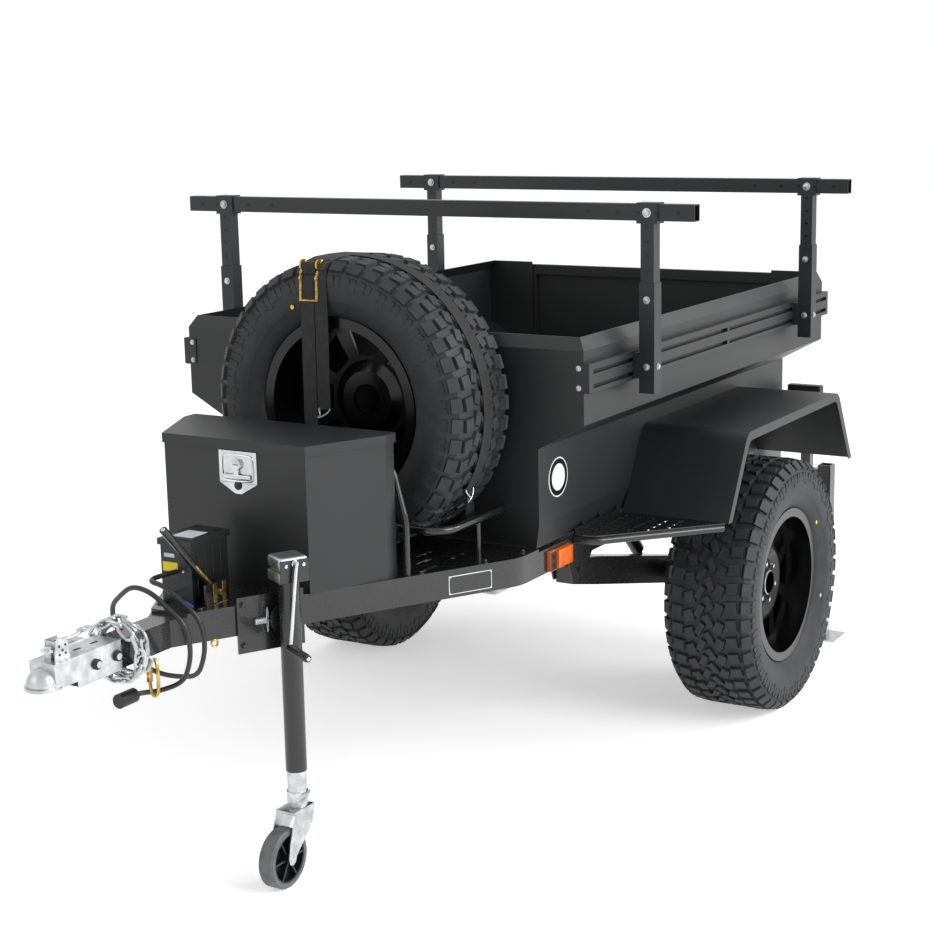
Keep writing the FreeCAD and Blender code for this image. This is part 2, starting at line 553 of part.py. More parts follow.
def make_jack():
    rail = math.atan2(sheet.tongueHalf - sheet.lowHalf, sheet.noseRailX - sheet.bendX)
    along = FreeCAD.Vector(math.cos(rail), math.sin(rail), 0)
    out = FreeCAD.Vector(-math.sin(rail), math.cos(rail), 0)
    foot = FreeCAD.Vector(sheet.mountX, sheet.mountY, 0)
    axis = FreeCAD.Vector(sheet.jackX, sheet.jackY, 0)
    to_rail = FreeCAD.Rotation(UP, math.degrees(rail))

    plate = Part.makeBox(sheet.mountLong, sheet.mountThick, sheet.mountTall,
                         FreeCAD.Vector(-65, sheet.swivelGap, sheet.mountLow))
    boss = Part.makeCylinder(sheet.bossRadius, sheet.bossLong,
                             FreeCAD.Vector(0, sheet.mountThick + sheet.swivelGap, sheet.swivelZ),
                             FreeCAD.Vector(0, 1, 0))
    mount = plate.fuse(boss)
    mount.Placement = FreeCAD.Placement(foot, to_rail)
    fixed = document.addObject("Part::Feature", "jackMount")
    fixed.Shape = mount
    keep("jack_mount", fixed)

    swivel = sheet.mountThick + sheet.bossLong + 2 * sheet.swivelGap
    disc = Part.makeCylinder(sheet.discRadius, sheet.discThick,
                             foot + out * swivel + UP * sheet.swivelZ, out)
    outer = Part.makeCylinder(sheet.jackRadius, sheet.jackHigh - sheet.jackLow,
                              axis + UP * sheet.jackLow)
    bore = Part.makeCylinder(sheet.jackBore, 443, axis + UP * (sheet.jackLow - 1))
    tube = document.addObject("Part::Feature", "jackTube")
    tube.Shape = outer.fuse(disc).cut(bore)
    keep("jack_tube", tube)

    half = sheet.headSide / 2
    head = Part.makeBox(sheet.headSide, sheet.headSide, sheet.headTall,
                        FreeCAD.Vector(-half, -half, 0))
    head.Placement = FreeCAD.Placement(axis + UP * (sheet.jackHigh + 0.2), to_rail)
    hub_foot = axis + out * half + UP * sheet.crankZ
    hub = Part.makeCylinder(sheet.crankHub, sheet.crankOut + 8, hub_foot, out)
    elbow = hub_foot + out * sheet.crankOut
    low = elbow + along * sheet.crankAway - UP * sheet.crankDrop
    arm = Part.makeCylinder(sheet.crankRadius, (low - elbow).Length, elbow, low - elbow)
    grip = Part.makeCylinder(sheet.gripRadius, sheet.gripLong, low - out * 10, out)
    crank = document.addObject("Part::Feature", "jackCrank")
    crank.Shape = head.fuse([hub, arm, grip])
    keep("jack_crank", crank)

    inner = rod("legInner", "jackX", "jackY", 226, "legRadius", "690 - 226")
    collar = rod("legCollar", "jackX", "jackY", 222, "legRadius + 3", 36)
    keep("jack_leg", join("legWhole", inner, collar))

    crown = block("casterCrown", "jackX - 34", "jackY - 34", 208, 100, 68, 8)
    stub = rod("casterStub", "jackX", "jackY", 216, 12, 5.5)
    cheeks = []
    for side, start in (("Left", "jackY + 29"), ("Right", "jackY - 34")):
        cheeks.append(slab("casterCheek" + side, "XZ_Plane", start, 5,
                           [("jackX - 32", "208"), ("jackX + 50", "208"),
                            ("casterX + 18", "casterRadius + 6"), ("casterX + 8", "casterRadius - 18"),
                            ("casterX - 14", "casterRadius - 18"), ("jackX - 20", "140")]))
    pin = rod("casterPin", "casterX", "jackY - 38", "casterRadius", 6, 76, "Y")
    keep("caster_fork", join("casterFork", crown, stub, pin, *cheeks))

    disc_wheel = turned("casterWheel", [("0 - casterHalf", "6.05"), ("0 - casterHalf", "18"),
                                        ("6 - casterHalf", "22"), ("6 - casterHalf", "62"),
                                        ("0 - casterHalf", "66"), ("0 - casterHalf", "80"),
                                        ("6 - casterHalf", "casterRadius"),
                                        ("casterHalf - 6", "casterRadius"),
                                        ("casterHalf", "80"), ("casterHalf", "66"),
                                        ("casterHalf - 6", "62"), ("casterHalf - 6", "22"),
                                        ("casterHalf", "18"), ("casterHalf", "6.05")],
                        "casterX", "jackY", "casterRadius")
    keep("caster_wheel", disc_wheel)


# ---- rack ----

def make_rack():
    sleeves = []
    for end in ("Front", "Rear"):
        centre = "rack%sX" % end
        outer = block("sleeve" + end, centre + " - sleeveSide / 2", "rackY - sleeveSide / 2",
                      "sleeveLow", "sleeveSide", "sleeveSide", "sleeveTop - sleeveLow")
        bore = block("sleeveBore" + end, centre + " - sleeveBore / 2", "rackY - sleeveBore / 2",
                     "sleeveLow - 1", "sleeveBore", "sleeveBore", "sleeveTop - sleeveLow + 2")
        clamp = block("sleeveClamp" + end, centre + " - sleeveSide / 2 - 22",
                      "wideHalf + strutThick + 0.3", "strutLow + 4", "sleeveSide + 30",
                      "rackY - sleeveSide / 2 - wideHalf - strutThick - 0.3", "strutTall - 8")
        body = take("sleeveTube" + end, join("sleeveSolid" + end, outer, clamp), bore)
        sleeves += [body, across("sleeveTwin" + end, body)]
        bar = block("bar" + end, centre + " - barDeep / 2", "0 - barHalf", "barTop - barTall",
                    "barDeep", "2 * barHalf", "barTall")
        hollow = block("barHollow" + end, centre + " - barDeep / 2 + barWall", "0 - barHalf - 1",
                       "barTop - barTall + barWall", "barDeep - 2 * barWall", "2 * barHalf + 2",
                       "barTall - 2 * barWall")
        stem = block("stem" + end, centre + " - stemSide / 2", "rackY - stemSide / 2", "stemLow",
                     "stemSide", "stemSide", "barTop - barTall - stemLow")
        cap = block("cap" + end, centre + " - barDeep / 2 - 5", "rackY - clampWide / 2",
                    "barTop - barTall - 8", "barDeep + 10", "clampWide", "barTall + 12")
        space = block("capSpace" + end, centre + " - barDeep / 2 + 0.1", "rackY - clampWide / 2 - 1",
                      "barTop - barTall + 0.1", "barDeep - 0.2", "clampWide + 2", "barTall - 0.2")
        post = join("post" + end, stem, take("capCut" + end, cap, space))
        keep("rack_bar_%s" % end.lower(), join("rack" + end, take("barTube" + end, bar, hollow),
                                                post, across("postTwin" + end, post)))
    keep("rack_sleeves", join("sleeveSet", *sleeves))


# ---- running gear ----

def make_running_gear():
    arm = slab("armBeam", "XZ_Plane", "armY - armWide / 2", "armWide",
               [("pivotX + 40", "pivotZ + 20"), ("pivotX + 30", "pivotZ - 40"),
                ("pivotX - 130", "pivotZ - 80"), ("axleX - 60", "tyreRadius - 50"),
                ("axleX - 60", "tyreRadius + 50"), ("pivotX - 150", "pivotZ + 10"),
                ("pivotX", "pivotZ + 36")])
    spindle = rod("spindle", "axleX", "armY", "tyreRadius", 30, "wheelY - armY - 56", "Y")
    plate = rod("brakePlate", "axleX", "wheelY - 95", "tyreRadius", 150, 8, "Y")
    eye = rod("armEye", "pivotX", "armY - armWide / 2 - 1", "pivotZ", 10.2, "armWide + 2", "Y")
    left = join("armLeft", take("armBored", arm, eye), spindle, plate)
    keep("trailing_arms", join("armPair", left, across("armRight", left)))
    brackets = []
    for name, start in (("Outer", "armY + armWide / 2 + 1"), ("Inner", "armY - armWide / 2 - 7")):
        brackets.append(slab("hanger" + name, "XZ_Plane", start, 6,
                             [("pivotX + 70", "railTop - railDeep"), ("pivotX + 40", "pivotZ - 30"),
                              ("pivotX - 30", "pivotZ - 30"),
                              ("pivotX - 90", "railTop - railDeep")]))
    pin = rod("hangerPin", "pivotX", "armY - armWide / 2 - 12", "pivotZ", 10, "armWide + 24", "Y")
    hanger = join("hangerLeft", pin, *brackets)
    keep("arm_hangers", join("hangerPair", hanger, across("hangerRight", hanger)))
    keep("shock_absorbers", make_shocks())


def make_shocks():
    top = FreeCAD.Vector(sheet.shockTopX, sheet.shockY, sheet.shockTopZ)
    low = FreeCAD.Vector(sheet.shockLowX, sheet.shockY, sheet.shockLowZ)
    run = low - top
    body = Part.makeCylinder(sheet.shockRadius, sheet.shockLong, top, run)
    stem = Part.makeCylinder(sheet.shockRod, run.Length, top, run)
    across_eye = FreeCAD.Vector(0, sheet.shockEyeLong, 0)
    eyes = [Part.makeCylinder(sheet.shockEye, sheet.shockEyeLong, spot - across_eye / 2, across_eye)
            for spot in (top, low)]
    shape = body.fuse([stem] + eyes)
    twin = shape.mirror(FreeCAD.Vector(0, 0, 0), FreeCAD.Vector(0, 1, 0))
    item = document.addObject("Part::Feature", "shocks")
    item.Shape = Part.makeCompound([shape, twin])
    return item


# ---- rear end ----

def make_rear_bumper():
    beam = block("bumperBeam", "bumperX", "0 - uprightY - uprightSide / 2", "bumperLow", 50,
                 "2 * uprightY + uprightSide", 50)
    parts = [beam]
    for side, centre in (("Left", "uprightY"), ("Right", "0 - uprightY")):
        parts.append(block("upright" + side, "bumperX + 12", centre + " - uprightSide / 2",
                           "uprightLow", "uprightSide", "uprightSide", "uprightTop - uprightLow"))
    sleeve = block("footSleeve", "footX - 26", "footY - 26", 480, 52, 52, 220)
    bore = block("footBore", "footX - 20.4", "footY - 20.4", 479, 40.8, 40.8, 222)
    lug = block("footLug", "footX - 19", "uprightY + uprightSide / 2", 620, 38,
                "footY - 26 - uprightY - uprightSide / 2", 60)
    left = join("footHolder", take("footTube", sleeve, bore), lug)
    parts += [left, across("footHolderRight", left)]
    for side, start in (("Left", "362"), ("Right", "-298")):
        parts.append(rod("bumperKnuckle" + side, "gateX - 8", start,
                         "floorZ + gateGap", 8, 60, "Y"))
        parts.append(block("bumperEar" + side, "gateX - 12", start,
                           "bumperLow + 50", 8, 60, "floorZ + gateGap - bumperLow - 50"))
    keep("rear_bumper", join("bumperWhole", *parts))


def make_stabilisers():
    leg = block("footLeg", "footX - 20", "footY - 20", 6, 40, 40, 640)
    pad = block("footPad", "footX - footSide / 2", "footY - footSide / 2", 0, "footSide",
                "footSide", 6)
    left = keep("stabiliser_leg_left", join("stabiliserLeft", leg, pad))
    keep("stabiliser_leg_right", across("stabiliserRight", left))


def make_lights():
    amber = block("markerLamp", 70, "lowHalf", 722, 92, 20, 56)
    plate = block("markerPlate", 162, "lowHalf", 718, 40, 12, 62)
    marker = join("markerLeft", amber, plate)
    keep("marker_lights", join("markers", marker, across("markerRight", marker)))
    lamp = slab("tailLamp", "YZ_Plane", "bumperX + 14", 46,
                [("607", "925"), ("742", "925"), ("742", "1000"), ("730", "1010"),
                 ("620", "1010"), ("607", "1000")])
    keep("tail_lights", join("tailLamps", lamp, across("tailLampRight", lamp)))


# ---- tongue fittings ----

def make_coupler():
    low_z = "couplerLow"
    body = block("couplerBody", "couplerRear", "0 - couplerHalf", low_z,
                 "ballX - couplerRear", "2 * couplerHalf", "couplerTop - couplerLow")
    space = block("couplerSpace", "couplerRear - 1", "couplerWall - couplerHalf", "couplerLow - 1",
                  "tongueFront - couplerRear + 2", "2 * (couplerHalf - couplerWall)",
                  "couplerTop - couplerLow - couplerWall + 1")
    dome = document.addObject("Part::Sphere", "couplerDome")
    dome.Radius = 42
    place(dome, "ballX", "0", "ballZ")
    trim = block("couplerTrim", "ballX - domeReach", "0 - domeReach", "couplerLow - domeReach",
                 "2 * domeReach + 10", "2 * domeReach", "domeReach")
    lip = rod("couplerLip", "ballX", "0", "couplerLow", "couplerNose - ballX", "lipTall")
    ball = document.addObject("Part::Sphere", "couplerSocket")
    ball.setExpression("Radius", formula("ballRadius"))
    place(ball, "ballX", "0", "ballZ")
    mouth = rod("couplerMouth", "ballX", "0", "couplerLow - 20", "ballRadius", "ballZ - couplerLow + 20")
    shell = join("couplerSolid", body, take("couplerDomeCut", dome, trim), lip)
    hollow = take("couplerShell", shell, space, ball, mouth)
    lever = block("couplerLever", "liftRear", "0 - liftHalf", "couplerTop + liftRise",
                  "liftLong", "2 * liftHalf", "liftThick")
    cheek = block("couplerCheek", "cheekRear", "0 - cheekHalf", "couplerTop - couplerWall",
                  "cheekLong", "2 * cheekHalf", "cheekTall")
    bolts = []
    for step, centre in enumerate((1633, 1556)):
        for side, start in (("Left", "couplerHalf"), ("Right", "0 - couplerHalf - nutLong")):
            bolts.append(rod("couplerBolt%d%s" % (step, side), centre, start, "nutZ",
                              "nutRadius", "nutLong", "Y"))
    keep("coupler", join("couplerWhole", hollow, lever, cheek, *bolts))


def make_battery_box():
    tub = block("batteryTub", "batteryRear", "batteryRight", "railTop + deckLip", "batteryLong",
                "batteryWide", "batteryTall")
    cap = block("batteryCap", "batteryRear - capLip", "batteryRight - capLip",
                "railTop + deckLip + batteryTall", "batteryLong + 2 * capLip",
                "batteryWide + 2 * capLip", "capTall")
    keep("battery_box", join("batteryWhole", tub, cap))


def make_brake_lever():
    foot = FreeCAD.Vector(sheet.leverFootX, sheet.leverY, sheet.leverFootZ)
    top = FreeCAD.Vector(sheet.leverTopX, sheet.leverY, sheet.leverTopZ)
    base = Part.makeBox(sheet.leverBase, sheet.leverBaseThick, sheet.leverBaseTall,
                        FreeCAD.Vector(sheet.leverFootX - sheet.leverBaseBack,
                                       sheet.leverY + sheet.leverBaseOut, sheet.floorZ))
    arm = Part.makeCylinder(sheet.leverRadius, (top - foot).Length, foot, top - foot)
    pivot = Part.makeCylinder(sheet.leverPin, sheet.leverPinLong,
                              foot - FreeCAD.Vector(0, sheet.leverPinIn, 0),
                              FreeCAD.Vector(0, 1, 0))
    item = document.addObject("Part::Feature", "brakeLever")
    item.Shape = arm.fuse([base, pivot])
    keep("brake_lever", item)


def make_chains():
    """The safety chains' bundle, lapped round the tongue."""
    outer = rod("chainOuter", "chainRear", 0, "coilZ", "chainRadius", "chainLong", "X")
    inner = block("chainInner", "chainRear - 1", "0 - tongueHalf - 0.5",
                  "railTop - 2 * tongueHalf - 0.5", "chainLong + 2", "2 * tongueHalf + 1",
                  "2 * tongueHalf + 1")
    keep("safety_chains", take("chainBundle", outer, inner))


def make_cable():
    """The lighting cable: a short lead, two loops hung round the tongue, and its plug."""
    outer = rod("coilOuter", "coilRear", 0, "coilZ", "coilRadius", "coilLong", "X")
    inner = rod("coilInner", "coilRear - 1", 0, "coilZ", "coilRadius - 45", "coilLong + 2", "X")
    keep("cable_coil", take("coilRing", outer, inner))
    keep("tow_cable", rod("cableLead", "batteryRear + batteryLong", "leadY",
                          "coilZ + coilRadius - 24", "cableRadius",
                          "coilRear - batteryRear - batteryLong", "X"))
    keep("cable_plug", rod("plugBody", "coilRear + coilLong", 0, "coilZ - coilRadius + 24",
                           "plugRadius", "plugLong", "X"))


make_tub_side()
make_tub_front()
make_tub_floor()
make_rear_corners()
make_tailgate()
make_struts()
make_frame_rails()
make_crossmembers()
make_tongue()
make_deck()
make_fenders()
make_steps()
make_toolbox()
make_latch()
make_wheels()
make_spare()
make_carrier()
make_straps()
make_jack()
make_rack()
make_running_gear()
make_rear_bumper()
make_stabilisers()
make_lights()
make_coupler()
make_battery_box()
make_brake_lever()
make_chains()
make_cable()

document.recompute()
for item in document.Objects:
    if "Invalid" in item.State or "Error" in item.State:
        raise RuntimeError("%s is %s" % (item.Name, item.State))
os.makedirs("parts", exist_ok=True)
for piece in pieces:
    if piece.Shape.isNull() or not piece.Shape.isValid():
        raise RuntimeError("%s has no valid shape" % piece.Label)
    piece.Shape.exportStep("parts/%s.step" % piece.Label)
print("%d pieces" % len(pieces))
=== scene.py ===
import bmesh
import bpy
import json
import math
import random
from mathutils import Matrix, Vector


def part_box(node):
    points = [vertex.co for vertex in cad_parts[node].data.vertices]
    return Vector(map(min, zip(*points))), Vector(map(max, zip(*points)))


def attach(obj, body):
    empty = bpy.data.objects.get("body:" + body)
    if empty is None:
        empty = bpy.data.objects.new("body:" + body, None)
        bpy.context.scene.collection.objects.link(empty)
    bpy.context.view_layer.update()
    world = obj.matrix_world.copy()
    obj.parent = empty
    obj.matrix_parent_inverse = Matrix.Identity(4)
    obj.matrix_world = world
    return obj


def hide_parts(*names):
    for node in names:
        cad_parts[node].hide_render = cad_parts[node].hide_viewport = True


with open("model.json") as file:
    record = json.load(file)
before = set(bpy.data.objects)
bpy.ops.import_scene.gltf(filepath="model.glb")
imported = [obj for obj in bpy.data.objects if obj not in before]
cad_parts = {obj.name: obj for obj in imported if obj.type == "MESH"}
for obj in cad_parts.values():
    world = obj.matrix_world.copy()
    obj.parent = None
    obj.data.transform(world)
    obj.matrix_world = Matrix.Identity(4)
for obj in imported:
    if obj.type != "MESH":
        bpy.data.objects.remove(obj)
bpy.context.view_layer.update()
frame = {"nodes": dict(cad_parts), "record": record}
scene = bpy.context.scene
random.seed(7)


def linear(code):
    # sRGB hex to the linear values that shaders take
    parts = [int(code[i:i + 2], 16) / 255 for i in (1, 3, 5)]
    return [p / 12.92 if p <= 0.04045 else ((p + 0.055) / 1.055) ** 2.4 for p in parts] + [1]


def addNode(tree, kind, settings=None, links=None):
    # settings: property or input values; links: input name to a socket
    node = tree.nodes.new(kind)
    for key, value in (settings or {}).items():
        if hasattr(node, key):
            setattr(node, key, value)
        else:
            node.inputs[key].default_value = value
    for key, socket in (links or {}).items():
        tree.links.new(socket, node.inputs[key])
    return node


def newMaterial(name, shader):
    mat = bpy.data.materials.new(name)
    mat.use_nodes = True
    tree = mat.node_tree
    body = tree.nodes["Principled BSDF"]
    for key, value in shader.items():
        body.inputs[key].default_value = value
    coords = tree.nodes.new("ShaderNodeTexCoord").outputs["Object"]
    return mat, tree, body, coords


def grainyMaterial(name, dark, light, shader, grain, wear=None, bump=0.3):
    # grain is the size in metres of the surface's own texture, wear that of slow changes
    mat, tree, body, coords = newMaterial(name, shader)
    fine = addNode(tree, "ShaderNodeTexNoise", {"Scale": 1 / grain, "Detail": 4},
                   {"Vector": coords})
    slow = addNode(tree, "ShaderNodeTexNoise", {"Scale": 1 / (wear or grain * 60), "Detail": 3},
                   {"Vector": coords})
    ramp = addNode(tree, "ShaderNodeValToRGB", {}, {"Fac": slow.outputs["Fac"]})
    ramp.color_ramp.elements[0].position = 0.35
    ramp.color_ramp.elements[0].color = linear(dark)
    ramp.color_ramp.elements[1].position = 0.7
    ramp.color_ramp.elements[1].color = linear(light)
    rough = addNode(tree, "ShaderNodeMapRange",
                    {"To Min": shader["Roughness"] - 0.06, "To Max": shader["Roughness"] + 0.08},
                    {"Value": fine.outputs["Fac"]})
    lift = addNode(tree, "ShaderNodeBump", {"Strength": bump, "Distance": grain * 0.3},
                   {"Height": fine.outputs["Fac"]})
    tree.links.new(ramp.outputs["Color"], body.inputs["Base Color"])
    tree.links.new(rough.outputs["Result"], body.inputs["Roughness"])
    tree.links.new(lift.outputs["Normal"], body.inputs["Normal"])
    return mat


# Polyester powder coat, fine-textured and baked: a dry satin with a pebbled grain of 1 mm
powderCoat = grainyMaterial("finePowderCoat", "#151618", "#1d1e20",
                            {"Roughness": 0.42, "IOR": 1.5}, 0.0022, 0.5, 0.35)
# Gloss enamel sprayed over the welded frame: smooth, with a faint orange peel 4 mm apart
frameEnamel = grainyMaterial("frameEnamel", "#101112", "#181819",
                             {"Roughness": 0.26, "IOR": 1.5, "Coat Weight": 0.3}, 0.004, 0.4, 0.06)
# Satin powder coat on the rack's aluminium tube
rackCoat = grainyMaterial("rackPowderCoat", "#16171a", "#1e2023",
                          {"Roughness": 0.38, "IOR": 1.5}, 0.0018, 0.4, 0.25)
# Bright zinc plating, passivated: a soft silver with cloudy grey spangle 15 mm across
zincPlate = grainyMaterial("brightZinc", "#aeb2b4", "#d0d3d3",
                           {"Metallic": 1.0, "Roughness": 0.33}, 0.003, 0.03, 0.12)
# Yellow chromate zinc: brassy with a drifting rainbow tint
yellowZinc = grainyMaterial("yellowZinc", "#a07c36", "#cdb56a",
                            {"Metallic": 1.0, "Roughness": 0.3}, 0.002, 0.015, 0.1)
# Rolled stainless sheet, polished: mirror-like with a faint wave
stainless = grainyMaterial("polishedStainless", "#b9bcbd", "#d4d6d6",
                           {"Metallic": 1.0, "Roughness": 0.16}, 0.004, 0.06, 0.05)
# Tyre compound, moulded: matt carbon-black rubber with a slight grey bloom
tyreRubber = grainyMaterial("tyreRubber", "#18191b", "#27282b",
                            {"Roughness": 0.62, "IOR": 1.52}, 0.0025, 0.06, 0.3)
# Gloss black baked enamel on the steel rims
rimEnamel = grainyMaterial("rimEnamel", "#060607", "#0a0a0b",
                           {"Roughness": 0.22, "IOR": 1.45}, 0.004, 0.2, 0.03)
# Sand-cast iron, painted thinly: dull and pebbled
castIron = grainyMaterial("castIron", "#2a2b2c", "#3c3d3d",
                          {"Metallic": 0.6, "Roughness": 0.55}, 0.003, 0.03, 0.5)
# Polypropylene, moulded with a fine spark texture
blackPlastic = grainyMaterial("mouldedPolypropylene", "#101112", "#18191a",
                              {"Roughness": 0.4, "IOR": 1.49}, 0.0015, 0.1, 0.25)
# PVC cable jacket, extruded: smooth satin
cableJacket = grainyMaterial("extrudedPvcJacket", "#151617", "#1f2021",
                             {"Roughness": 0.36, "IOR": 1.52}, 0.004, 0.05, 0.08)
# Grey non-marking rubber of the jack's wheel
casterRubber = grainyMaterial("greyRubber", "#55565a", "#6a6b6e",
                              {"Roughness": 0.55, "IOR": 1.52}, 0.002, 0.03, 0.2)
# Amber and red acrylic lenses, injection moulded
amberLens = grainyMaterial("amberAcrylic", "#c4530a", "#e0701a",
                           {"Roughness": 0.12, "IOR": 1.49}, 0.004, 0.05, 0.05)
redLens = grainyMaterial("redAcrylic", "#6d0b0c", "#8a1212",
                         {"Roughness": 0.12, "IOR": 1.49}, 0.004, 0.05, 0.05)
# Woven polyester webbing: flat ribs 2 mm apart, drawn at 4 mm so that they show
webbing = grainyMaterial("wovenWebbing", "#151516", "#232324",
                         {"Roughness": 0.75, "IOR": 1.5}, 0.004, 0.02, 0.8)
# Vinyl labels, printed in one colour and left blank
whiteLabel = grainyMaterial("whiteVinyl", "#c9cdd0", "#dfe2e3",
                            {"Roughness": 0.35, "IOR": 1.5}, 0.004, 0.04, 0.03)
yellowLabel = grainyMaterial("yellowVinyl", "#f0d408", "#f8e21c",
                             {"Roughness": 0.35, "IOR": 1.5}, 0.004, 0.04, 0.03)
blueWire = grainyMaterial("bluePvc", "#1d46b4", "#2757cc",
                          {"Roughness": 0.35, "IOR": 1.5}, 0.004, 0.04, 0.05)
print("materials made")


def finishPiece(name, bm, mat, body, replaced=(), smooth=True):
    mesh = bpy.data.meshes.new(name)
    bmesh.ops.recalc_face_normals(bm, faces=bm.faces)
    bm.to_mesh(mesh)
    bm.free()
    for face in mesh.polygons:
        face.use_smooth = smooth
    piece = bpy.data.objects.new(name, mesh)
    scene.collection.objects.link(piece)
    if smooth:
        mesh.set_sharp_from_angle(angle=math.radians(35))
    mesh.materials.append(mat)
    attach(piece, body)
    if replaced:
        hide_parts(*replaced)
    return piece


def paint(mat, *nodes):
    for node in nodes:
        piece = frame["nodes"][node]
        piece.data.materials.clear()
        piece.data.materials.append(mat)


def facing(axis, place):
    # a frame at place whose Z runs along axis
    turn = Vector(axis).normalized().to_track_quat("Z", "Y").to_matrix().to_4x4()
    return Matrix.Translation(Vector(place)) @ turn


def addBox(bm, low, high, bevel=0.0, segments=1):
    low, high = Vector(low), Vector(high)
    made = bmesh.ops.create_cube(bm, size=1, matrix=Matrix.Translation((low + high) / 2)
                                 @ Matrix.Diagonal((*(high - low), 1)))
    if bevel:
        edges = {edge for vert in made["verts"] for edge in vert.link_edges}
        bmesh.ops.bevel(bm, geom=list(edges), offset=bevel, offset_type="OFFSET",
                        segments=segments, profile=0.5, affect="EDGES", material=-1)


def addRod(bm, start, end, radius, sides=24, topRadius=None, bevel=0.0):
    start, end = Vector(start), Vector(end)
    made = bmesh.ops.create_cone(bm, cap_ends=True, segments=sides, radius1=radius,
                                 radius2=radius if topRadius is None else topRadius,
                                 depth=(end - start).length,
                                 matrix=facing(end - start, (start + end) / 2))
    if bevel:
        rims = {edge for vert in made["verts"] for edge in vert.link_edges
                if any(len(face.verts) > 4 for face in edge.link_faces)}
        bmesh.ops.bevel(bm, geom=list(rims), offset=bevel, offset_type="OFFSET",
                        segments=2, profile=0.5, affect="EDGES", material=-1)


def addBolt(bm, place, axis, size=0.008, washer=True):
    place, axis = Vector(place), Vector(axis).normalized()
    if washer:
        addRod(bm, place, place + axis * size * 0.25, size * 1.35, 20)
    addRod(bm, place, place + axis * size * 0.9, size, 6, bevel=size * 0.12)


def turnProfile(bm, points, centre, axis, steps):
    # points are (along, radius) pairs of a closed or open profile, spun about axis
    place = facing(axis, centre)
    verts = [bm.verts.new(place @ Vector((radius, 0, along))) for along, radius in points]
    edges = [bm.edges.new(pair) for pair in zip(verts, verts[1:])]
    bmesh.ops.spin(bm, geom=verts + edges, cent=centre, axis=axis, angle=2 * math.pi,
                   steps=steps, use_merge=True)
    bmesh.ops.remove_doubles(bm, verts=bm.verts, dist=1e-6)


cameraPlan = {"place": (4.99151, 3.17159, 2.19272), "look": (-0.83948, -0.50321, -0.20507),
              "roll": -1.1875, "lens": 70.77}


def makeCamera(plan):
    data = bpy.data.cameras.new("view")
    data.lens = plan["lens"]
    data.sensor_width = 36
    data.clip_end = 100
    camera = bpy.data.objects.new("view", data)
    scene.collection.objects.link(camera)
    aim = Vector(plan["look"]).to_track_quat("-Z", "Y").to_matrix().to_4x4()
    camera.matrix_world = (Matrix.Translation(plan["place"]) @ aim
                           @ Matrix.Rotation(math.radians(plan["roll"]), 4, "Z"))
    scene.camera = camera


studioPlan = {"floor": "#f4f4f4", "floorSize": 60, "worldLight": 0.62, "floorGlow": 0.46,
              "lamps": (((0.5, 6.5, 4.0), 4.0, 330), ((6.0, -3.0, 4.5), 4.0, 45),
                        ((-4.0, 5.0, 4.0), 3.0, 170))}


def makeStudio(plan):
    bm = bmesh.new()
    bmesh.ops.create_grid(bm, x_segments=1, y_segments=1, size=plan["floorSize"] / 2)
    mesh = bpy.data.meshes.new("studioFloor")
    bm.to_mesh(mesh)
    bm.free()
    floor = bpy.data.objects.new("studioFloor", mesh)
    scene.collection.objects.link(floor)
    mat = bpy.data.materials.new("paintedFloor")
    mat.use_nodes = True
    tree = mat.node_tree
    body = tree.nodes["Principled BSDF"]
    body.inputs["Base Color"].default_value = linear(plan["floor"])
    body.inputs["Roughness"].default_value = 0.9
    path = tree.nodes.new("ShaderNodeLightPath")
    seen = addNode(tree, "ShaderNodeMath", {"operation": "MAXIMUM"})
    tree.links.new(path.outputs["Is Camera Ray"], seen.inputs[0])
    tree.links.new(path.outputs["Is Glossy Ray"], seen.inputs[1])
    glow = addNode(tree, "ShaderNodeMath", {"operation": "MULTIPLY"})
    tree.links.new(seen.outputs["Value"], glow.inputs[0])
    glow.inputs[1].default_value = plan["floorGlow"]
    body.inputs["Emission Color"].default_value = (1, 1, 1, 1)
    tree.links.new(glow.outputs["Value"], body.inputs["Emission Strength"])
    mesh.materials.append(mat)
    world = bpy.data.worlds.new("studioWorld")
    scene.world = world
    world.use_nodes = True
    tree = world.node_tree
    back = tree.nodes["Background"]
    back.inputs["Color"].default_value = (1, 1, 1, 1)
    path = tree.nodes.new("ShaderNodeLightPath")
    seen = addNode(tree, "ShaderNodeMath", {"operation": "MAXIMUM"})
    tree.links.new(path.outputs["Is Camera Ray"], seen.inputs[0])
    tree.links.new(path.outputs["Is Glossy Ray"], seen.inputs[1])
    power = addNode(tree, "ShaderNodeMapRange", {"To Min": plan["worldLight"], "To Max": 1.0},
                    {"Value": seen.outputs["Value"]})
    tree.links.new(power.outputs["Result"], back.inputs["Strength"])
    for place, size, energy in plan["lamps"]:
        lamp = bpy.data.lights.new("softbox", "AREA")
        lamp.size = size
        lamp.energy = energy
        thing = bpy.data.objects.new("softbox", lamp)
        thing.matrix_world = facing(Vector(place) - Vector((0, 0, 0.8)), place)
        scene.collection.objects.link(thing)
    scene.view_settings.view_transform = "Standard"


makeCamera(cameraPlan)
makeStudio(studioPlan)
print("camera and studio made")


tyrePlan = {"radius": 0.4445, "width": 0.318, "bead": 0.256, "pitches": 44, "grooveDeep": 0.011}


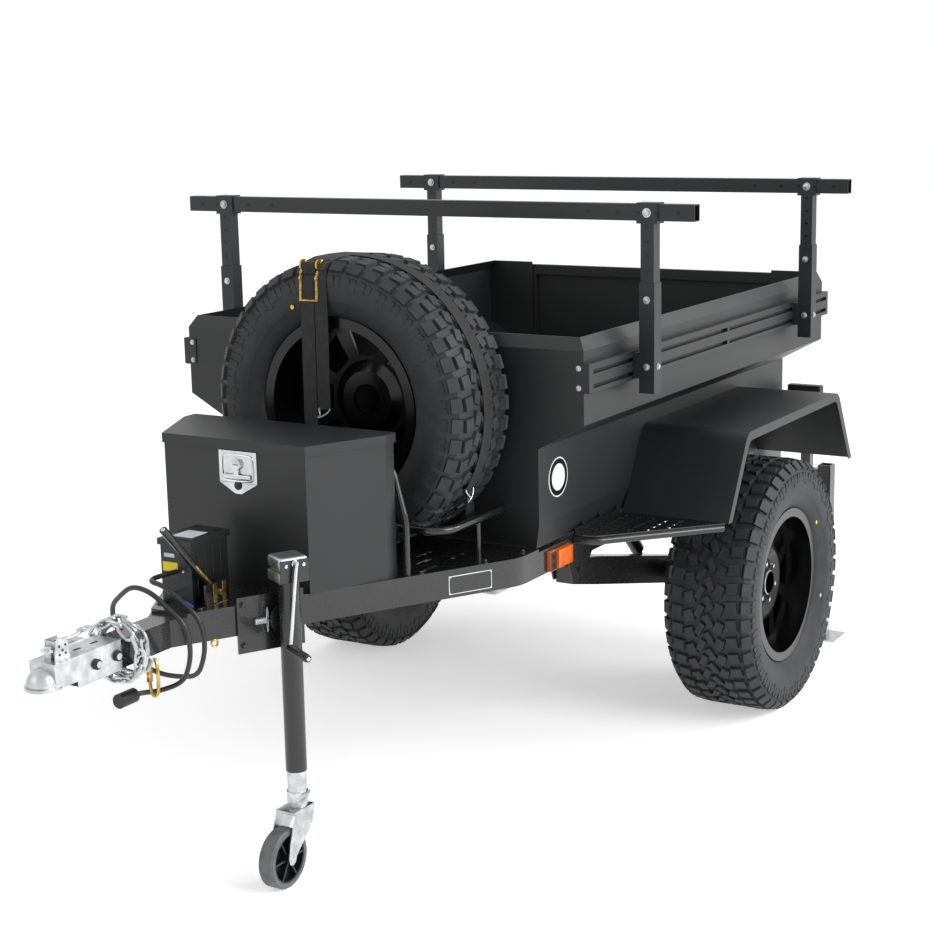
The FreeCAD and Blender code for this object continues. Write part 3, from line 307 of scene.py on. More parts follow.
def addLug(bm, turn, along, length, wide, deep, radius, skew=0.0, lean=0.0, draft=0.86):
    # a tread block: length runs round the tyre, wide across it, drawn in towards its top
    made = bmesh.ops.create_cube(bm, size=1, matrix=Matrix.Diagonal((length, wide, deep, 1)))
    top = [vert for vert in made["verts"] if vert.co.z > 0]
    bmesh.ops.scale(bm, vec=(draft, draft, 1), verts=top)
    move = (Matrix.Rotation(turn, 4, "Y") @ Matrix.Translation((0, along, radius))
            @ Matrix.Rotation(lean, 4, "X") @ Matrix.Rotation(skew, 4, "Z"))
    bmesh.ops.transform(bm, matrix=move, verts=made["verts"])


def tyreMesh(plan):
    bm = bmesh.new()
    radius, half, bead = plan["radius"], plan["width"] / 2, plan["bead"]
    base = radius - plan["grooveDeep"]
    outer = [(0.117, bead), (0.118, bead + 0.016), (0.126, bead + 0.019), (0.135, bead + 0.03),
             (0.146, bead + 0.05), (0.151, bead + 0.064), (0.1525, bead + 0.066),
             (half - 0.003, bead + 0.1), (half - 0.002, radius - 0.062), (half - 0.004, radius - 0.058),
             (half - 0.005, radius - 0.05), (half - 0.012, radius - 0.034),
             (half - 0.026, base - 0.006), (0.1, base)]
    profile = ([(-0.095, bead)] + [(-along, r) for along, r in outer]
               + [(along, r) for along, r in reversed(outer)] + [(0.095, bead)])
    turnProfile(bm, profile, (0, 0, 0), (0, 1, 0), 96)
    pitches = plan["pitches"]
    step = 2 * math.pi / pitches
    arc = step * radius
    for index in range(pitches):
        turn = index * step
        for sign in (-1, 1):
            shift = turn + (0.5 * step if sign > 0 else 0)
            # centre rib, staggered inner blocks, and the shoulder lugs that wrap the edge
            addLug(bm, shift, sign * 0.016, arc * 0.84, 0.024, 0.014, radius - 0.0079,
                   sign * 0.5)
            addLug(bm, shift + 0.3 * step, sign * 0.052, arc * 0.72, 0.034, 0.014, radius - 0.0079,
                   -sign * 0.35)
            addLug(bm, shift + 0.1 * step, sign * 0.097, arc * 0.66, 0.042, 0.016,
                   radius - 0.0095, sign * 0.12, -sign * 0.08)
            long = index % 2 == 0
            addLug(bm, shift + 0.1 * step, sign * (half - 0.021), arc * 0.72, 0.036, 0.018,
                   radius - 0.0235, 0, -sign * 0.8, 0.93)
            # thin bars moulded in pairs down the sidewall, some long and some short
            for part, reach in ((-0.2, 0.044 if long else 0.03), (0.2, 0.034)):
                addLug(bm, shift + (0.1 + part) * step, sign * (half - 0.0044), arc * 0.26,
                       reach, 0.006, radius - 0.045 - reach / 2, 0, -sign * 1.54, 0.92)
    return bm


def makeTyres(plan):
    source = tyreMesh(plan)
    mesh = bpy.data.meshes.new("tyreSource")
    source.to_mesh(mesh)
    source.free()
    for name, node, body, axis in (("treadLeft", "tyre_left", "wheel_left", (0, 1, 0)),
                                   ("treadRight", "tyre_right", "wheel_right", (0, -1, 0)),
                                   ("treadSpare", "spare_tyre", "chassis", (1, 0, 0))):
        low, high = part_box(node)
        bm = bmesh.new()
        bm.from_mesh(mesh)
        turn = Vector((0, 1, 0)).rotation_difference(Vector(axis)).to_matrix().to_4x4()
        bmesh.ops.transform(bm, matrix=Matrix.Translation((Vector(low) + Vector(high)) / 2) @ turn,
                            verts=bm.verts)
        finishPiece(name, bm, tyreRubber, body, (node,))
    bpy.data.meshes.remove(mesh)


makeTyres(tyrePlan)
print("tyres made")


paint(powderCoat, "tub_side_left", "tub_side_right", "tub_front_panel", "tub_floor",
      "tub_rear_corners", "side_rail_left", "side_rail_right", "rail_end_plates", "fender_left",
      "fender_right", "toolbox_body", "toolbox_lid", "tailgate")
paint(frameEnamel, "frame_rail_left", "frame_rail_right", "crossmembers", "tongue_tube",
      "deck_plate", "step_left", "step_right", "trailing_arms", "arm_hangers", "rear_bumper",
      "spare_carrier", "jack_mount", "shock_absorbers", "jack_tube", "brake_lever")
paint(rackCoat, "rack_sleeves", "rack_bar_front", "rack_bar_rear")
paint(zincPlate, "coupler", "safety_chains", "jack_leg", "caster_fork", "jack_crank",
      "stabiliser_leg_left", "stabiliser_leg_right")
paint(stainless, "toolbox_latch")
paint(rimEnamel, "rim_left", "rim_right", "spare_rim")
paint(castIron, "hub_left", "hub_right")
paint(blackPlastic, "battery_box", "cable_plug")
paint(amberLens, "marker_lights")
paint(redLens, "tail_lights")
paint(webbing, "spare_straps")
paint(casterRubber, "caster_wheel")
print("solids finished")


def addBar(bm, points, radius, closed=False):
    # a round bar bent along a smooth line through given points
    data = bpy.data.curves.new("bar", "CURVE")
    data.dimensions = "3D"
    data.bevel_depth = radius
    data.bevel_resolution = 2
    data.resolution_u = 5
    data.use_fill_caps = True
    spline = data.splines.new("NURBS")
    spline.points.add(len(points) - 1)
    for point, place in zip(spline.points, points):
        point.co = (*place, 1)
    spline.use_cyclic_u = closed
    spline.order_u = 3
    spline.use_endpoint_u = not closed
    thing = bpy.data.objects.new("bar", data)
    mesh = bpy.data.meshes.new_from_object(thing)
    bm.from_mesh(mesh)
    bpy.data.objects.remove(thing)
    bpy.data.meshes.remove(mesh)


def addCopy(bm, mesh, matrix):
    # one more copy of a ready mesh, put in place by matrix
    before = len(bm.verts)
    bm.from_mesh(mesh)
    bm.verts.ensure_lookup_table()
    bmesh.ops.transform(bm, matrix=matrix, verts=bm.verts[before:])


def bothSides(places):
    return [(x, side * y, z) for x, y, z in places for side in (1, -1)]


def addTaper(bm, low, high, top=(1, 1), foot=(1, 1)):
    # a box narrowed in X and Y at its top or at its foot
    low, high = Vector(low), Vector(high)
    middle = (low + high) / 2
    made = bmesh.ops.create_cube(bm, size=1, matrix=Matrix.Translation(middle)
                                 @ Matrix.Diagonal((*(high - low), 1)))
    for upper, share in ((True, top), (False, foot)):
        picked = [vert for vert in made["verts"] if (vert.co.z > middle.z) == upper]
        bmesh.ops.scale(bm, vec=(*share, 1), verts=picked, space=Matrix.Translation(-middle))


linkPlan = {"long": 0.058, "wide": 0.034, "wire": 0.0046}


def linkMesh(plan):
    # a welded link: a round bar turned through a ring, its halves pulled apart
    bm = bmesh.new()
    bend = plan["wide"] / 2 - plan["wire"]
    ring = bmesh.ops.create_circle(bm, segments=8, radius=plan["wire"],
                                   matrix=Matrix.Translation((bend, 0, 0))
                                   @ Matrix.Rotation(math.radians(90), 4, "X"))
    geom = ring["verts"] + list(bm.edges)
    bmesh.ops.spin(bm, geom=geom, cent=(0, 0, 0), axis=(0, 0, 1), angle=2 * math.pi,
                   steps=16, use_merge=True)
    bmesh.ops.remove_doubles(bm, verts=bm.verts, dist=1e-5)
    for sign in (-1, 1):
        half = [vert for vert in bm.verts if vert.co.y * sign > 0.001]
        bmesh.ops.translate(bm, verts=half, vec=(0, sign * (plan["long"] - plan["wide"]) / 2, 0))
    mesh = bpy.data.meshes.new("link")
    bm.to_mesh(mesh)
    bm.free()
    return mesh


def makeChains(plan):
    mesh = linkMesh(plan)
    low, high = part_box("safety_chains")
    centre = (Vector(low) + Vector(high)) / 2
    reach = (high[1] - low[1]) / 2 - plan["wide"] / 2 - 0.001
    bm = bmesh.new()
    count = 12
    # three turns of chain lapped round the drawbar, each leaning its own way
    for turn, (shift, lean, drop) in enumerate(((-0.016, 0.16, 0.0), (0.0, -0.1, -0.004),
                                                (0.016, 0.12, -0.002))):
        for index in range(count):
            angle = 2 * math.pi * (index + 0.37 * turn) / count
            wander = random.uniform(-0.003, 0.003)
            place = centre + Vector((shift + lean * 0.1 * math.sin(angle) + wander,
                                     reach * math.cos(angle), drop + reach * math.sin(angle)))
            roll = math.radians(90 * (index % 2) + random.uniform(-18, 18) + 40)
            addCopy(bm, mesh, Matrix.Translation(place)
                    @ Matrix.Rotation(angle + math.pi / 2, 4, "X")
                    @ Matrix.Rotation(roll, 4, "Y"))
    finishPiece("safetyChainLinks", bm, zincPlate, "chassis", ("safety_chains",))
    # the chain's end hook, brassy, hanging from the turns beside the tongue
    bm = bmesh.new()
    x, y, top = centre.x - 0.055, 0.062, centre.z - 0.055
    addBar(bm, [(x, y - 0.014, top - 0.03), (x, y - 0.015, top + 0.012), (x, y, top + 0.022),
                (x, y + 0.015, top + 0.012), (x, y + 0.015, top - 0.07), (x, y, top - 0.088),
                (x, y - 0.015, top - 0.07), (x, y - 0.014, top - 0.036)], 0.0048)
    addRod(bm, (x, y - 0.0145, top - 0.045), (x, y - 0.0145, top - 0.008), 0.0085, 6, bevel=0.001)
    finishPiece("chainHook", bm, yellowZinc, "chassis")
    bpy.data.meshes.remove(mesh)


couplerPlan = {"half": 0.0425, "wall": 0.0039, "skirtFoot": 0.7125, "skirtTop": 0.7306, "end": 1.7,
               "boltZ": 0.756, "boltSpots": (0.018, 0.098), "guard": 1.7, "guardTop": 0.845,
               "deck": 0.796}


def makeCouplerParts(plan):
    rear, half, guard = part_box("coupler")[0][0], plan["half"], plan["guard"]
    bm = bmesh.new()
    for x in [rear + spot for spot in plan["boltSpots"]]:
        for side in (-1, 1):
            face = (x, side * half, plan["boltZ"])
            addRod(bm, face, (x, side * (half + 0.008), plan["boltZ"]), 0.0145, 24, bevel=0.001)
            addRod(bm, face, (x, side * (half + 0.011), plan["boltZ"]), 0.0105, 6, bevel=0.001)
    finishPiece("couplerNuts", bm, castIron, "chassis")
    bm = bmesh.new()
    # the channel's lower skirts, which grip the drawbar's sides
    for side in (-1, 1):
        near, far = sorted((side * (half - plan["wall"]), side * half))
        addBox(bm, (rear, near, plan["skirtFoot"]), (plan["end"], far, plan["skirtTop"]), 0.0008)
    # folded guard with its row of holes, and the wing-shaped lift lever behind it
    deck, top = plan["deck"], plan["guardTop"]
    for side in (-1, 1):
        near, far = sorted((side * 0.0155, side * 0.0185))
        addTaper(bm, (guard, near, deck - 0.002), (guard + 0.054, far, top), top=(0.78, 1))
    addBox(bm, (guard + 0.045, -0.018, deck + 0.004), (guard + 0.048, 0.018, top - 0.002), 0.001)
    addBar(bm, [(guard + 0.03, 0, top - 0.007), (guard, 0, top - 0.009), (guard - 0.03, 0, top - 0.013),
                (guard - 0.055, 0, top - 0.009), (guard - 0.075, 0, top - 0.002)], 0.005)
    addBox(bm, (guard - 0.105, -0.014, top - 0.0065), (guard - 0.06, 0.014, top - 0.0015), 0.0015)
    finishPiece("couplerLatch", bm, zincPlate, "chassis")
    bm = bmesh.new()
    # dark rods through the guard for its row of holes, and thin dark plates for two slots in the deck:
    # painted shade inside them
    for across, up in ((0.014, 0.01), (0.036, 0.01), (0.025, 0.02), (0.014, 0.032), (0.036, 0.032)):
        spot = Vector((guard + across, 0, deck + up))
        addRod(bm, spot - Vector((0, 0.019, 0)), spot + Vector((0, 0.019, 0)), 0.0036, 16)
    for x in (rear + 0.055, rear + 0.12):
        addBox(bm, (x - 0.013, -0.0045, deck - 0.0005), (x + 0.013, 0.0045, deck + 0.0006), 0.0004)
    finishPiece("couplerHoleShade", bm, castIron, "chassis")


def jackPlace(height):
    # X along the frame rail, Y out from it, at the jack's own axis
    joint = next(j for j in frame["record"]["behaviour"]["joints"] if j["name"] == "jack_swing")
    out = -Vector(joint["axis"]).normalized()
    along = out.cross(Vector((0, 0, 1)))
    low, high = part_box("jack_leg")
    turn = Matrix((along, out, Vector((0, 0, 1)))).transposed().to_4x4()
    return Matrix.Translation(((low[0] + high[0]) / 2, (low[1] + high[1]) / 2, height)) @ turn


jackPlan = {"half": 0.0435, "base": 0.8682, "tall": 0.0715, "hub": 0.055, "drop": 0.231,
            "away": 0.029, "grip": 0.124}


def makeJackHead(plan):
    place = jackPlace(plan["base"])
    half, tall = plan["half"], plan["tall"]
    bm = bmesh.new()
    # cover folded over the gears, its front stepped back under a rounded nose
    addBox(bm, (-half, -half, tall * 0.5), (half, half - 0.004, tall), 0.009, 4)
    addBox(bm, (-half, -half, 0), (half, half - 0.004, tall * 0.42), 0.003, 2)
    addBox(bm, (-half + 0.004, -half, tall * 0.3), (half - 0.011, half - 0.004, tall * 0.7), 0.002)
    bmesh.ops.transform(bm, matrix=place, verts=bm.verts)
    finishPiece("jackCover", bm, zincPlate, "jack", ("jack_crank",))
    bm = bmesh.new()
    addBox(bm, (-half, half - 0.004, 0.001), (half, half, tall - 0.006), 0.0015)
    bmesh.ops.transform(bm, matrix=place, verts=bm.verts)
    finishPiece("jackSidePlate", bm, frameEnamel, "jack")
    bm = bmesh.new()
    for x in (-0.026, 0.026):
        addRod(bm, (x, half, 0.05), (x, half + 0.004, 0.05), 0.0055, 20, bevel=0.0015)
    addRod(bm, (0, half, plan["hub"]), (0, half + 0.005, plan["hub"]), 0.0105, 28, bevel=0.001)
    elbow = half + 0.014
    low = plan["hub"] - plan["drop"]
    end = elbow + 0.006
    addBar(bm, [(0, half, plan["hub"]), (0, elbow - 0.006, plan["hub"]), (0.0005, elbow, plan["hub"]),
                (0.003, elbow, plan["hub"] - 0.012), (0.015, elbow, plan["hub"] * 0.5 + low * 0.5),
                (plan["away"] - 0.002, elbow, low + 0.014), (plan["away"], elbow, low),
                (plan["away"], end, low), (plan["away"], end + 0.02, low)], 0.0058)
    addRod(bm, (plan["away"], half + 0.004 + plan["grip"], low),
           (plan["away"], half + 0.0085 + plan["grip"], low), 0.006, 20, bevel=0.0015)
    bmesh.ops.transform(bm, matrix=place, verts=bm.verts)
    finishPiece("jackCrankRod", bm, stainless, "jack")
    bm = bmesh.new()
    start = half + 0.006
    addRod(bm, (plan["away"], start, low), (plan["away"], start + plan["grip"] - 0.002, low),
           0.0102, 24, 0.0108, 0.002)
    for index in range(12):
        angle = index * math.pi / 6
        spot = (plan["away"] + 0.0098 * math.cos(angle), low + 0.0098 * math.sin(angle))
        addRod(bm, (spot[0], start + 0.006, spot[1]), (spot[0], start + plan["grip"] - 0.012, spot[1]),
               0.002, 8)
    bmesh.ops.transform(bm, matrix=place, verts=bm.verts)
    finishPiece("jackGrip", bm, blackPlastic, "jack")


mountPlan = {"pivotZ": 0.752, "bolts": (-0.047, 0.117), "teeth": 24, "discRadius": 0.044}


def makeJackMount(plan):
    place, pivot = jackPlace(0), plan["pivotZ"]
    low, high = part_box("jack_mount")
    # bolts on the mount plate's outer face, placed from the jack's axis
    bm = bmesh.new()
    for x in plan["bolts"]:
        for z in (low[2] + 0.022, high[2] - 0.022):
            addBolt(bm, (x, -0.0505, z), (0, 1, 0), 0.0085)
    bmesh.ops.transform(bm, matrix=place, verts=bm.verts)
    finishPiece("jackMountBolts", bm, frameEnamel, "chassis")
    bm = bmesh.new()
    for index in range(plan["teeth"]):
        angle = index * 2 * math.pi / plan["teeth"]
        x = 0.002 + plan["discRadius"] * math.cos(angle)
        z = pivot + plan["discRadius"] * math.sin(angle)
        addRod(bm, (x, -0.032, z), (x, -0.0295, z), 0.003, 6)
    bmesh.ops.transform(bm, matrix=place, verts=bm.verts)
    finishPiece("swivelTeeth", bm, frameEnamel, "jack")
    bm = bmesh.new()
    # the sprung locking pin and its split ring, ahead of the swivel disc
    addRod(bm, (0.05, -0.043, pivot), (0.088, -0.043, pivot), 0.0078, 24, bevel=0.001)
    for index in range(7):
        centre = Vector((0.054 + 0.0045 * index, -0.043, pivot))
        addBar(bm, [centre + Vector((0.0008 * step, 0.0092 * math.cos(step * math.pi / 4),
                                     0.0092 * math.sin(step * math.pi / 4))) for step in range(8)],
               0.0014, True)
    addBar(bm, [(0.05 + 0.004 * math.cos(a), -0.041 + 0.012 * math.cos(a) * 0.3,
                 pivot + 0.036 * math.sin(a)) for a in (0.4, 0.9, 1.4, 1.9, 2.6, 3.5, 4.2, 4.9, 5.6)],
           0.0016, True)
    bmesh.ops.transform(bm, matrix=place, verts=bm.verts)
    finishPiece("swivelPin", bm, zincPlate, "chassis")


casterPlan = {"radius": 0.085, "half": 0.0245, "gap": 0.029, "trail": 0.08}


def makeCaster(plan):
    low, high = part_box("caster_wheel")
    hub = (Vector(low) + Vector(high)) / 2
    stem = hub - Vector((plan["trail"], 0, 0))
    bm = bmesh.new()
    crown = 0.212
    addBox(bm, (stem.x - 0.034, stem.y - 0.0335, crown - 0.005), (stem.x + 0.062, stem.y + 0.0335,
                                                                 crown + 0.003), 0.003, 2)
    addRod(bm, (stem.x, stem.y, crown), (stem.x, stem.y, crown + 0.0095), 0.027, 32, bevel=0.001)
    for side in (-1, 1):
        y = stem.y + side * (plan["gap"] + 0.0022)
        # each cheek: a plate cut wide at the crown and round at the pin
        outline = [(stem.x - 0.032, crown), (stem.x + 0.055, crown), (stem.x + 0.066, 0.185),
                   (hub.x + 0.008, 0.135), (hub.x + 0.0165, hub.z + 0.006), (hub.x + 0.013, hub.z - 0.011),
                   (hub.x, hub.z - 0.017), (hub.x - 0.013, hub.z - 0.011), (hub.x - 0.02, hub.z + 0.006),
                   (stem.x + 0.018, 0.128), (stem.x - 0.02, 0.165)]
        verts = [bm.verts.new((x, y, z)) for x, z in outline]
        face = bm.faces.new(verts)
        solid = bmesh.ops.extrude_face_region(bm, geom=[face])
        moved = [item for item in solid["geom"] if isinstance(item, bmesh.types.BMVert)]
        bmesh.ops.translate(bm, verts=moved, vec=(0, side * 0.0035, 0))
        addRod(bm, (hub.x, y, hub.z), (hub.x, y + side * 0.0065, hub.z), 0.0085, 6, bevel=0.001)
    addRod(bm, (hub.x, hub.y - 0.033, hub.z), (hub.x, hub.y + 0.033, hub.z), 0.0058, 20)
    finishPiece("casterFork", bm, zincPlate, "caster", ("caster_fork",))
    bm = bmesh.new()
    half, r = plan["half"], plan["radius"]
    turnProfile(bm, [(-half, r - 0.016), (-half, r - 0.005), (-half + 0.005, r), (half - 0.005, r),
                     (half, r - 0.005), (half, r - 0.016), (half - 0.006, r - 0.019),
                     (-half + 0.006, r - 0.019), (-half, r - 0.016)], hub, (0, 1, 0), 64)
    finishPiece("casterTread", bm, casterRubber, "caster_wheel", ("caster_wheel",))
    bm = bmesh.new()
    turnProfile(bm, [(-0.004, 0.012), (-0.004, r - 0.022), (-half + 0.002, r - 0.021),
                     (-half + 0.002, r - 0.0165), (half - 0.002, r - 0.0165),
                     (half - 0.002, r - 0.021), (0.004, r - 0.022), (0.004, 0.012), (-0.004, 0.012)],
                hub, (0, 1, 0), 48)
    turnProfile(bm, [(-half, 0.0064), (-half, 0.013), (half, 0.013), (half, 0.0064), (-half, 0.0064)],
                hub, (0, 1, 0), 32)
    for index in range(6):
        turn = Matrix.Translation(hub) @ Matrix.Rotation(index * math.pi / 3, 4, "Y")
        made = bmesh.ops.create_cube(bm, size=1, matrix=turn @ Matrix.Translation((0.038, 0, 0))
                                     @ Matrix.Diagonal((0.054, half * 1.8, 0.006, 1)))
        bmesh.ops.bevel(bm, geom=list({e for v in made["verts"] for e in v.link_edges}), offset=0.001,
                        offset_type="OFFSET", segments=1, profile=0.5, affect="EDGES", material=-1)
    finishPiece("casterCore", bm, blackPlastic, "caster_wheel")
    bm = bmesh.new()
    # the collar's sprung wire clip
    centre = Vector((stem.x, stem.y, 0.24))
    addBar(bm, [centre + Vector(p) for p in ((0.02, 0.033, 0.012), (0.0, 0.0365, 0.014),
                                             (-0.024, 0.026, 0.012), (-0.0345, 0.0, 0.01),
                                             (-0.03, -0.02, 0.004))], 0.0016)
    addBar(bm, [centre + Vector(p) for p in ((-0.02, 0.03, 0.014), (0.006, 0.037, -0.004),
                                             (0.03, 0.03, -0.013))], 0.0016)
    finishPiece("collarClip", bm, zincPlate, "jack_leg")


def makeBatteryBox():
    low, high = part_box("battery_box")
    lip = 0.006
    front, side = high[0] - lip, high[1] - lip
    bm = bmesh.new()
    # the lid's raised panel, and upright ribs down the tub's side
    addBox(bm, (low[0] + 0.016, low[1] + 0.016, high[2] - 0.002),
           (high[0] - 0.016, high[1] - 0.016, high[2] + 0.0025), 0.0015, 2)
    for index in range(4):
        x = low[0] + 0.035 + 0.034 * index
        addBox(bm, (x, side - 0.001, low[2] + 0.02), (x + 0.006, side + 0.002, high[2] - 0.03), 0.0008)
    finishPiece("batteryLid", bm, blackPlastic, "chassis")
    bm = bmesh.new()
    addBox(bm, (low[0] + 0.07, low[1] + 0.03, high[2] + 0.002),
           (high[0] - 0.03, high[1] - 0.022, high[2] + 0.0032))
    addBox(bm, (front - 0.0004, low[1] + 0.018, high[2] - 0.052),
           (front + 0.0006, low[1] + 0.054, high[2] - 0.041))
    finishPiece("batteryLabels", bm, whiteLabel, "chassis")
    bm = bmesh.new()
    addBox(bm, (front - 0.0004, low[1] + 0.012, high[2] - 0.092),
           (front + 0.0006, low[1] + 0.064, high[2] - 0.066))
    finishPiece("batteryTag", bm, yellowLabel, "chassis")
    bm = bmesh.new()
    screwTop, terminal = (0.0, high[2] - 0.088), (-0.037, low[2] + 0.03)
    for (y, z), size in ((screwTop, 0.004), (terminal, 0.005)):
        addRod(bm, (front - 0.001, y, z), (front + 0.003, y, z), size, 16, bevel=0.001)
    finishPiece("batteryScrews", bm, zincPlate, "chassis")
    bm = bmesh.new()
    y, z = terminal
    addBar(bm, [(front, y, z), (front + 0.012, y + 0.004, z + 0.002), (front + 0.03, y + 0.02, z + 0.006),
                (front + 0.042, y + 0.045, z + 0.004), (front + 0.04, y + 0.075, z - 0.008),
                (front + 0.03, y + 0.09, z - 0.022)], 0.0022)
    finishPiece("switchWire", bm, blueWire, "chassis")


def makeBrakeLever():
    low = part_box("brake_lever")[0]
    foot, top = Vector((low[0] + 0.03, 0.05, low[2] + 0.029)), Vector((1.354, 0.05, 1.048))
    along = (top - foot).normalized()
    bm = bmesh.new()
    # handle tube over the lever, with its end button
    addRod(bm, foot + along * 0.13, top - along * 0.004, 0.0107, 24, bevel=0.002)
    for index in range(4):
        spot = foot + along * (0.15 + 0.02 * index)
        addRod(bm, spot + Vector((0, 0.009, 0)), spot + Vector((0, 0.0112, 0)), 0.0035, 12)
    finishPiece("brakeGrip", bm, frameEnamel, "chassis")
    bm = bmesh.new()
    side = Vector((0, 0.0045, 0))
    for sign in (-1, 1):
        addRod(bm, foot + side * sign * 1.5 + along * 0.005, foot + side * sign * 1.5 + along * 0.13,
               0.0055, 12)
    for x in (-0.018, 0.022):
        addBox(bm, (foot.x + x - 0.008, 0.0682, low[2] + 0.003),
               (foot.x + x + 0.008, 0.0694, foot.z + 0.028), 0.0004)
    addRod(bm, (foot.x, 0.037, foot.z), (foot.x, 0.074, foot.z), 0.0085, 6, bevel=0.001)
    finishPiece("brakeBracket", bm, yellowZinc, "chassis")
    bm = bmesh.new()
    addRod(bm, top - along * 0.006, top + along * 0.004, 0.006, 20, bevel=0.002)
    finishPiece("brakeButton", bm, zincPlate, "chassis")


def makeStrap():
    # two 50 mm straps side by side; the right one ends in its wire hook above the lid
    low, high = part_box("spare_straps")
    front, mid = high[0], (low[1] + high[1]) / 2
    top = high[2]
    plan = {"left": (low[1] + 0.001, mid - 0.001, low[2]), "right": (mid + 0.002, high[1] - 0.003, 1.243)}
    bm = bmesh.new()
    for start, end, foot in plan.values():
        # down the front, slack rather than flat: it bows where it leaves the tyre
        rows = 14
        last = None
        for index in range(rows + 1):
            share = index / rows
            z = foot + (top - 0.07 - foot) * share
            x = front - 0.0035 + 0.0012 * math.sin(share * 7 + start * 40)
            row = [bm.verts.new((x, start + (end - start) * k / 4, z)) for k in range(5)]
            if last:
                for k in range(4):
                    bm.faces.new((last[k], last[k + 1], row[k + 1], row[k]))
            last = row
    # over the tread and down behind the tyre
    route = [(front - 0.003, top - 0.07), (front - 0.012, top - 0.03), (front - 0.035, top - 0.012),
             (front - 0.08, top - 0.003), (front - 0.16, top - 0.001), (front - 0.24, top - 0.003),
             (front - 0.29, top - 0.014), (low[0] + 0.004, top - 0.034), (low[0] + 0.0015, top - 0.1)]
    last = None
    for x, z in route:
        row = [bm.verts.new((x, mid - 0.046 + 0.092 * k / 6, z)) for k in range(7)]
        if last:
            for k in range(6):
                bm.faces.new((last[k], last[k + 1], row[k + 1], row[k]))
        last = row
    bmesh.ops.recalc_face_normals(bm, faces=bm.faces)
    bmesh.ops.solidify(bm, geom=bm.faces[:], thickness=0.0016)
    finishPiece("strapWebbing", bm, webbing, "chassis", ("spare_straps",))
    bm = bmesh.new()
    # ratchet: two cheeks that narrow to the foot, a drum between them and a release bar
    for y in (low[1] + 0.004, mid + 0.012):
        addRod(bm, (front - 0.002, y, top - 0.128), (front - 0.006, y, top - 0.05), 0.0045, 8)
        addRod(bm, (front - 0.006, y, top - 0.05), (front - 0.034, y, top - 0.008), 0.0055, 8)
        addRod(bm, (front - 0.02, y - 0.003, top - 0.022), (front - 0.02, y + 0.003, top - 0.022),
               0.017, 18)
        addRod(bm, (front - 0.008, y - 0.0035, top - 0.06), (front - 0.008, y + 0.0035, top - 0.06),
               0.009, 14)
    addRod(bm, (front - 0.004, low[1] + 0.004, top - 0.126), (front - 0.004, mid + 0.012, top - 0.126),
           0.003, 10)
    finishPiece("ratchetCheeks", bm, yellowZinc, "chassis")
    bm = bmesh.new()
    addBox(bm, (front - 0.03, low[1] + 0.009, top - 0.05), (front - 0.002, mid + 0.007, top - 0.012),
           0.006, 3)
    finishPiece("ratchetDrum", bm, webbing, "chassis")
    bm = bmesh.new()
    x = front - 0.003
    addBar(bm, [(x, high[1] - 0.004, 1.247), (x, high[1] - 0.006, 1.238), (x, mid + 0.018, 1.222),
                (x - 0.002, mid + 0.002, 1.216)], 0.0024)
    addBar(bm, [(x, mid + 0.006, 1.247), (x, mid + 0.006, 1.238), (x, mid + 0.01, 1.222),
                (x - 0.002, mid - 0.004, 1.216)], 0.0024)
    finishPiece("strapHook", bm, zincPlate, "chassis")


tiePlan = {"wide": 0.05, "lift": 0.0008, "reach": 124, "plateFoot": 0.917, "plateWide": 0.058}


def makeTyreTie(plan):
    # one more strap, lapped round the tread from under the ratchet down to the ring's two plates
    low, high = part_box("spare_tyre")
    centre = (Vector(low) + Vector(high)) / 2
    radius = (high[2] - low[2]) / 2 + plan["lift"]
    bm = bmesh.new()
    for side in (-1, 1):
        ends = [bm.verts.new(centre + Vector((sign * plan["wide"] / 2, 0, radius))) for sign in (-1, 1)]
        edge = bm.edges.new(ends)
        bmesh.ops.spin(bm, geom=ends + [edge], cent=centre, axis=(-side, 0, 0),
                       angle=math.radians(plan["reach"]), steps=30)
    bmesh.ops.recalc_face_normals(bm, faces=bm.faces)
    bmesh.ops.solidify(bm, geom=bm.faces[:], thickness=-0.0016)
    finishPiece("tieWebbing", bm, webbing, "chassis")
    bend = math.radians(90 - plan["reach"])
    metal, plates = bmesh.new(), bmesh.new()
    for side in (-1, 1):
        end = centre + Vector((0, side * radius * math.cos(bend), radius * math.sin(bend)))
        near, far = sorted((end.y + side * 0.004, end.y + side * 0.008))
        addTaper(plates, (end.x - plan["plateWide"] / 2, near, plan["plateFoot"]),
                 (end.x + plan["plateWide"] / 2, far, end.z - 0.008), top=(0.5, 1))
        # a doubled wire hook, its arms crossed over the plate's slot
        for sign in (-1, 1):
            addBar(metal, [end + Vector((sign * 0.022, side * 0.006, 0.012)),
                           end + Vector((sign * 0.019, side * 0.009, -0.004)),
                           end + Vector((-sign * 0.006, side * 0.013, -0.022)),
                           end + Vector((-sign * 0.009, side * 0.006, -0.03))], 0.0026)
        addRod(metal, end + Vector((-0.027, side * 0.005, 0.012)),
               end + Vector((0.027, side * 0.005, 0.012)), 0.0026, 12)
    finishPiece("tiePlates", plates, frameEnamel, "chassis")
    finishPiece("tieHooks", metal, zincPlate, "chassis")


def makeWheelParts():
    for side, name in ((1, "left"), (-1, "right")):
        low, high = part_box("hub_" + name)
        centre = (Vector(low) + Vector(high)) / 2
        face = (high[1] if side > 0 else low[1])
        bm = bmesh.new()
        for index in range(6):
            angle = index * math.pi / 3 + 0.3
            spot = (centre.x + 0.0698 * math.cos(angle), face - side * 0.026,
                    centre.z + 0.0698 * math.sin(angle))
            addRod(bm, spot, (spot[0], face - side * 0.004, spot[2]), 0.0105, 6, 0.0088, 0.002)
        turnProfile(bm, [(0, 0.0), (0, 0.038), (-0.002, 0.0435), (-0.016, 0.046), (-0.024, 0.0465),
                         (-0.024, 0.0)], (centre.x, face, centre.z), (0, side, 0), 40)
        finishPiece("hubCap" + name.title(), bm, stainless, "wheel_" + name)


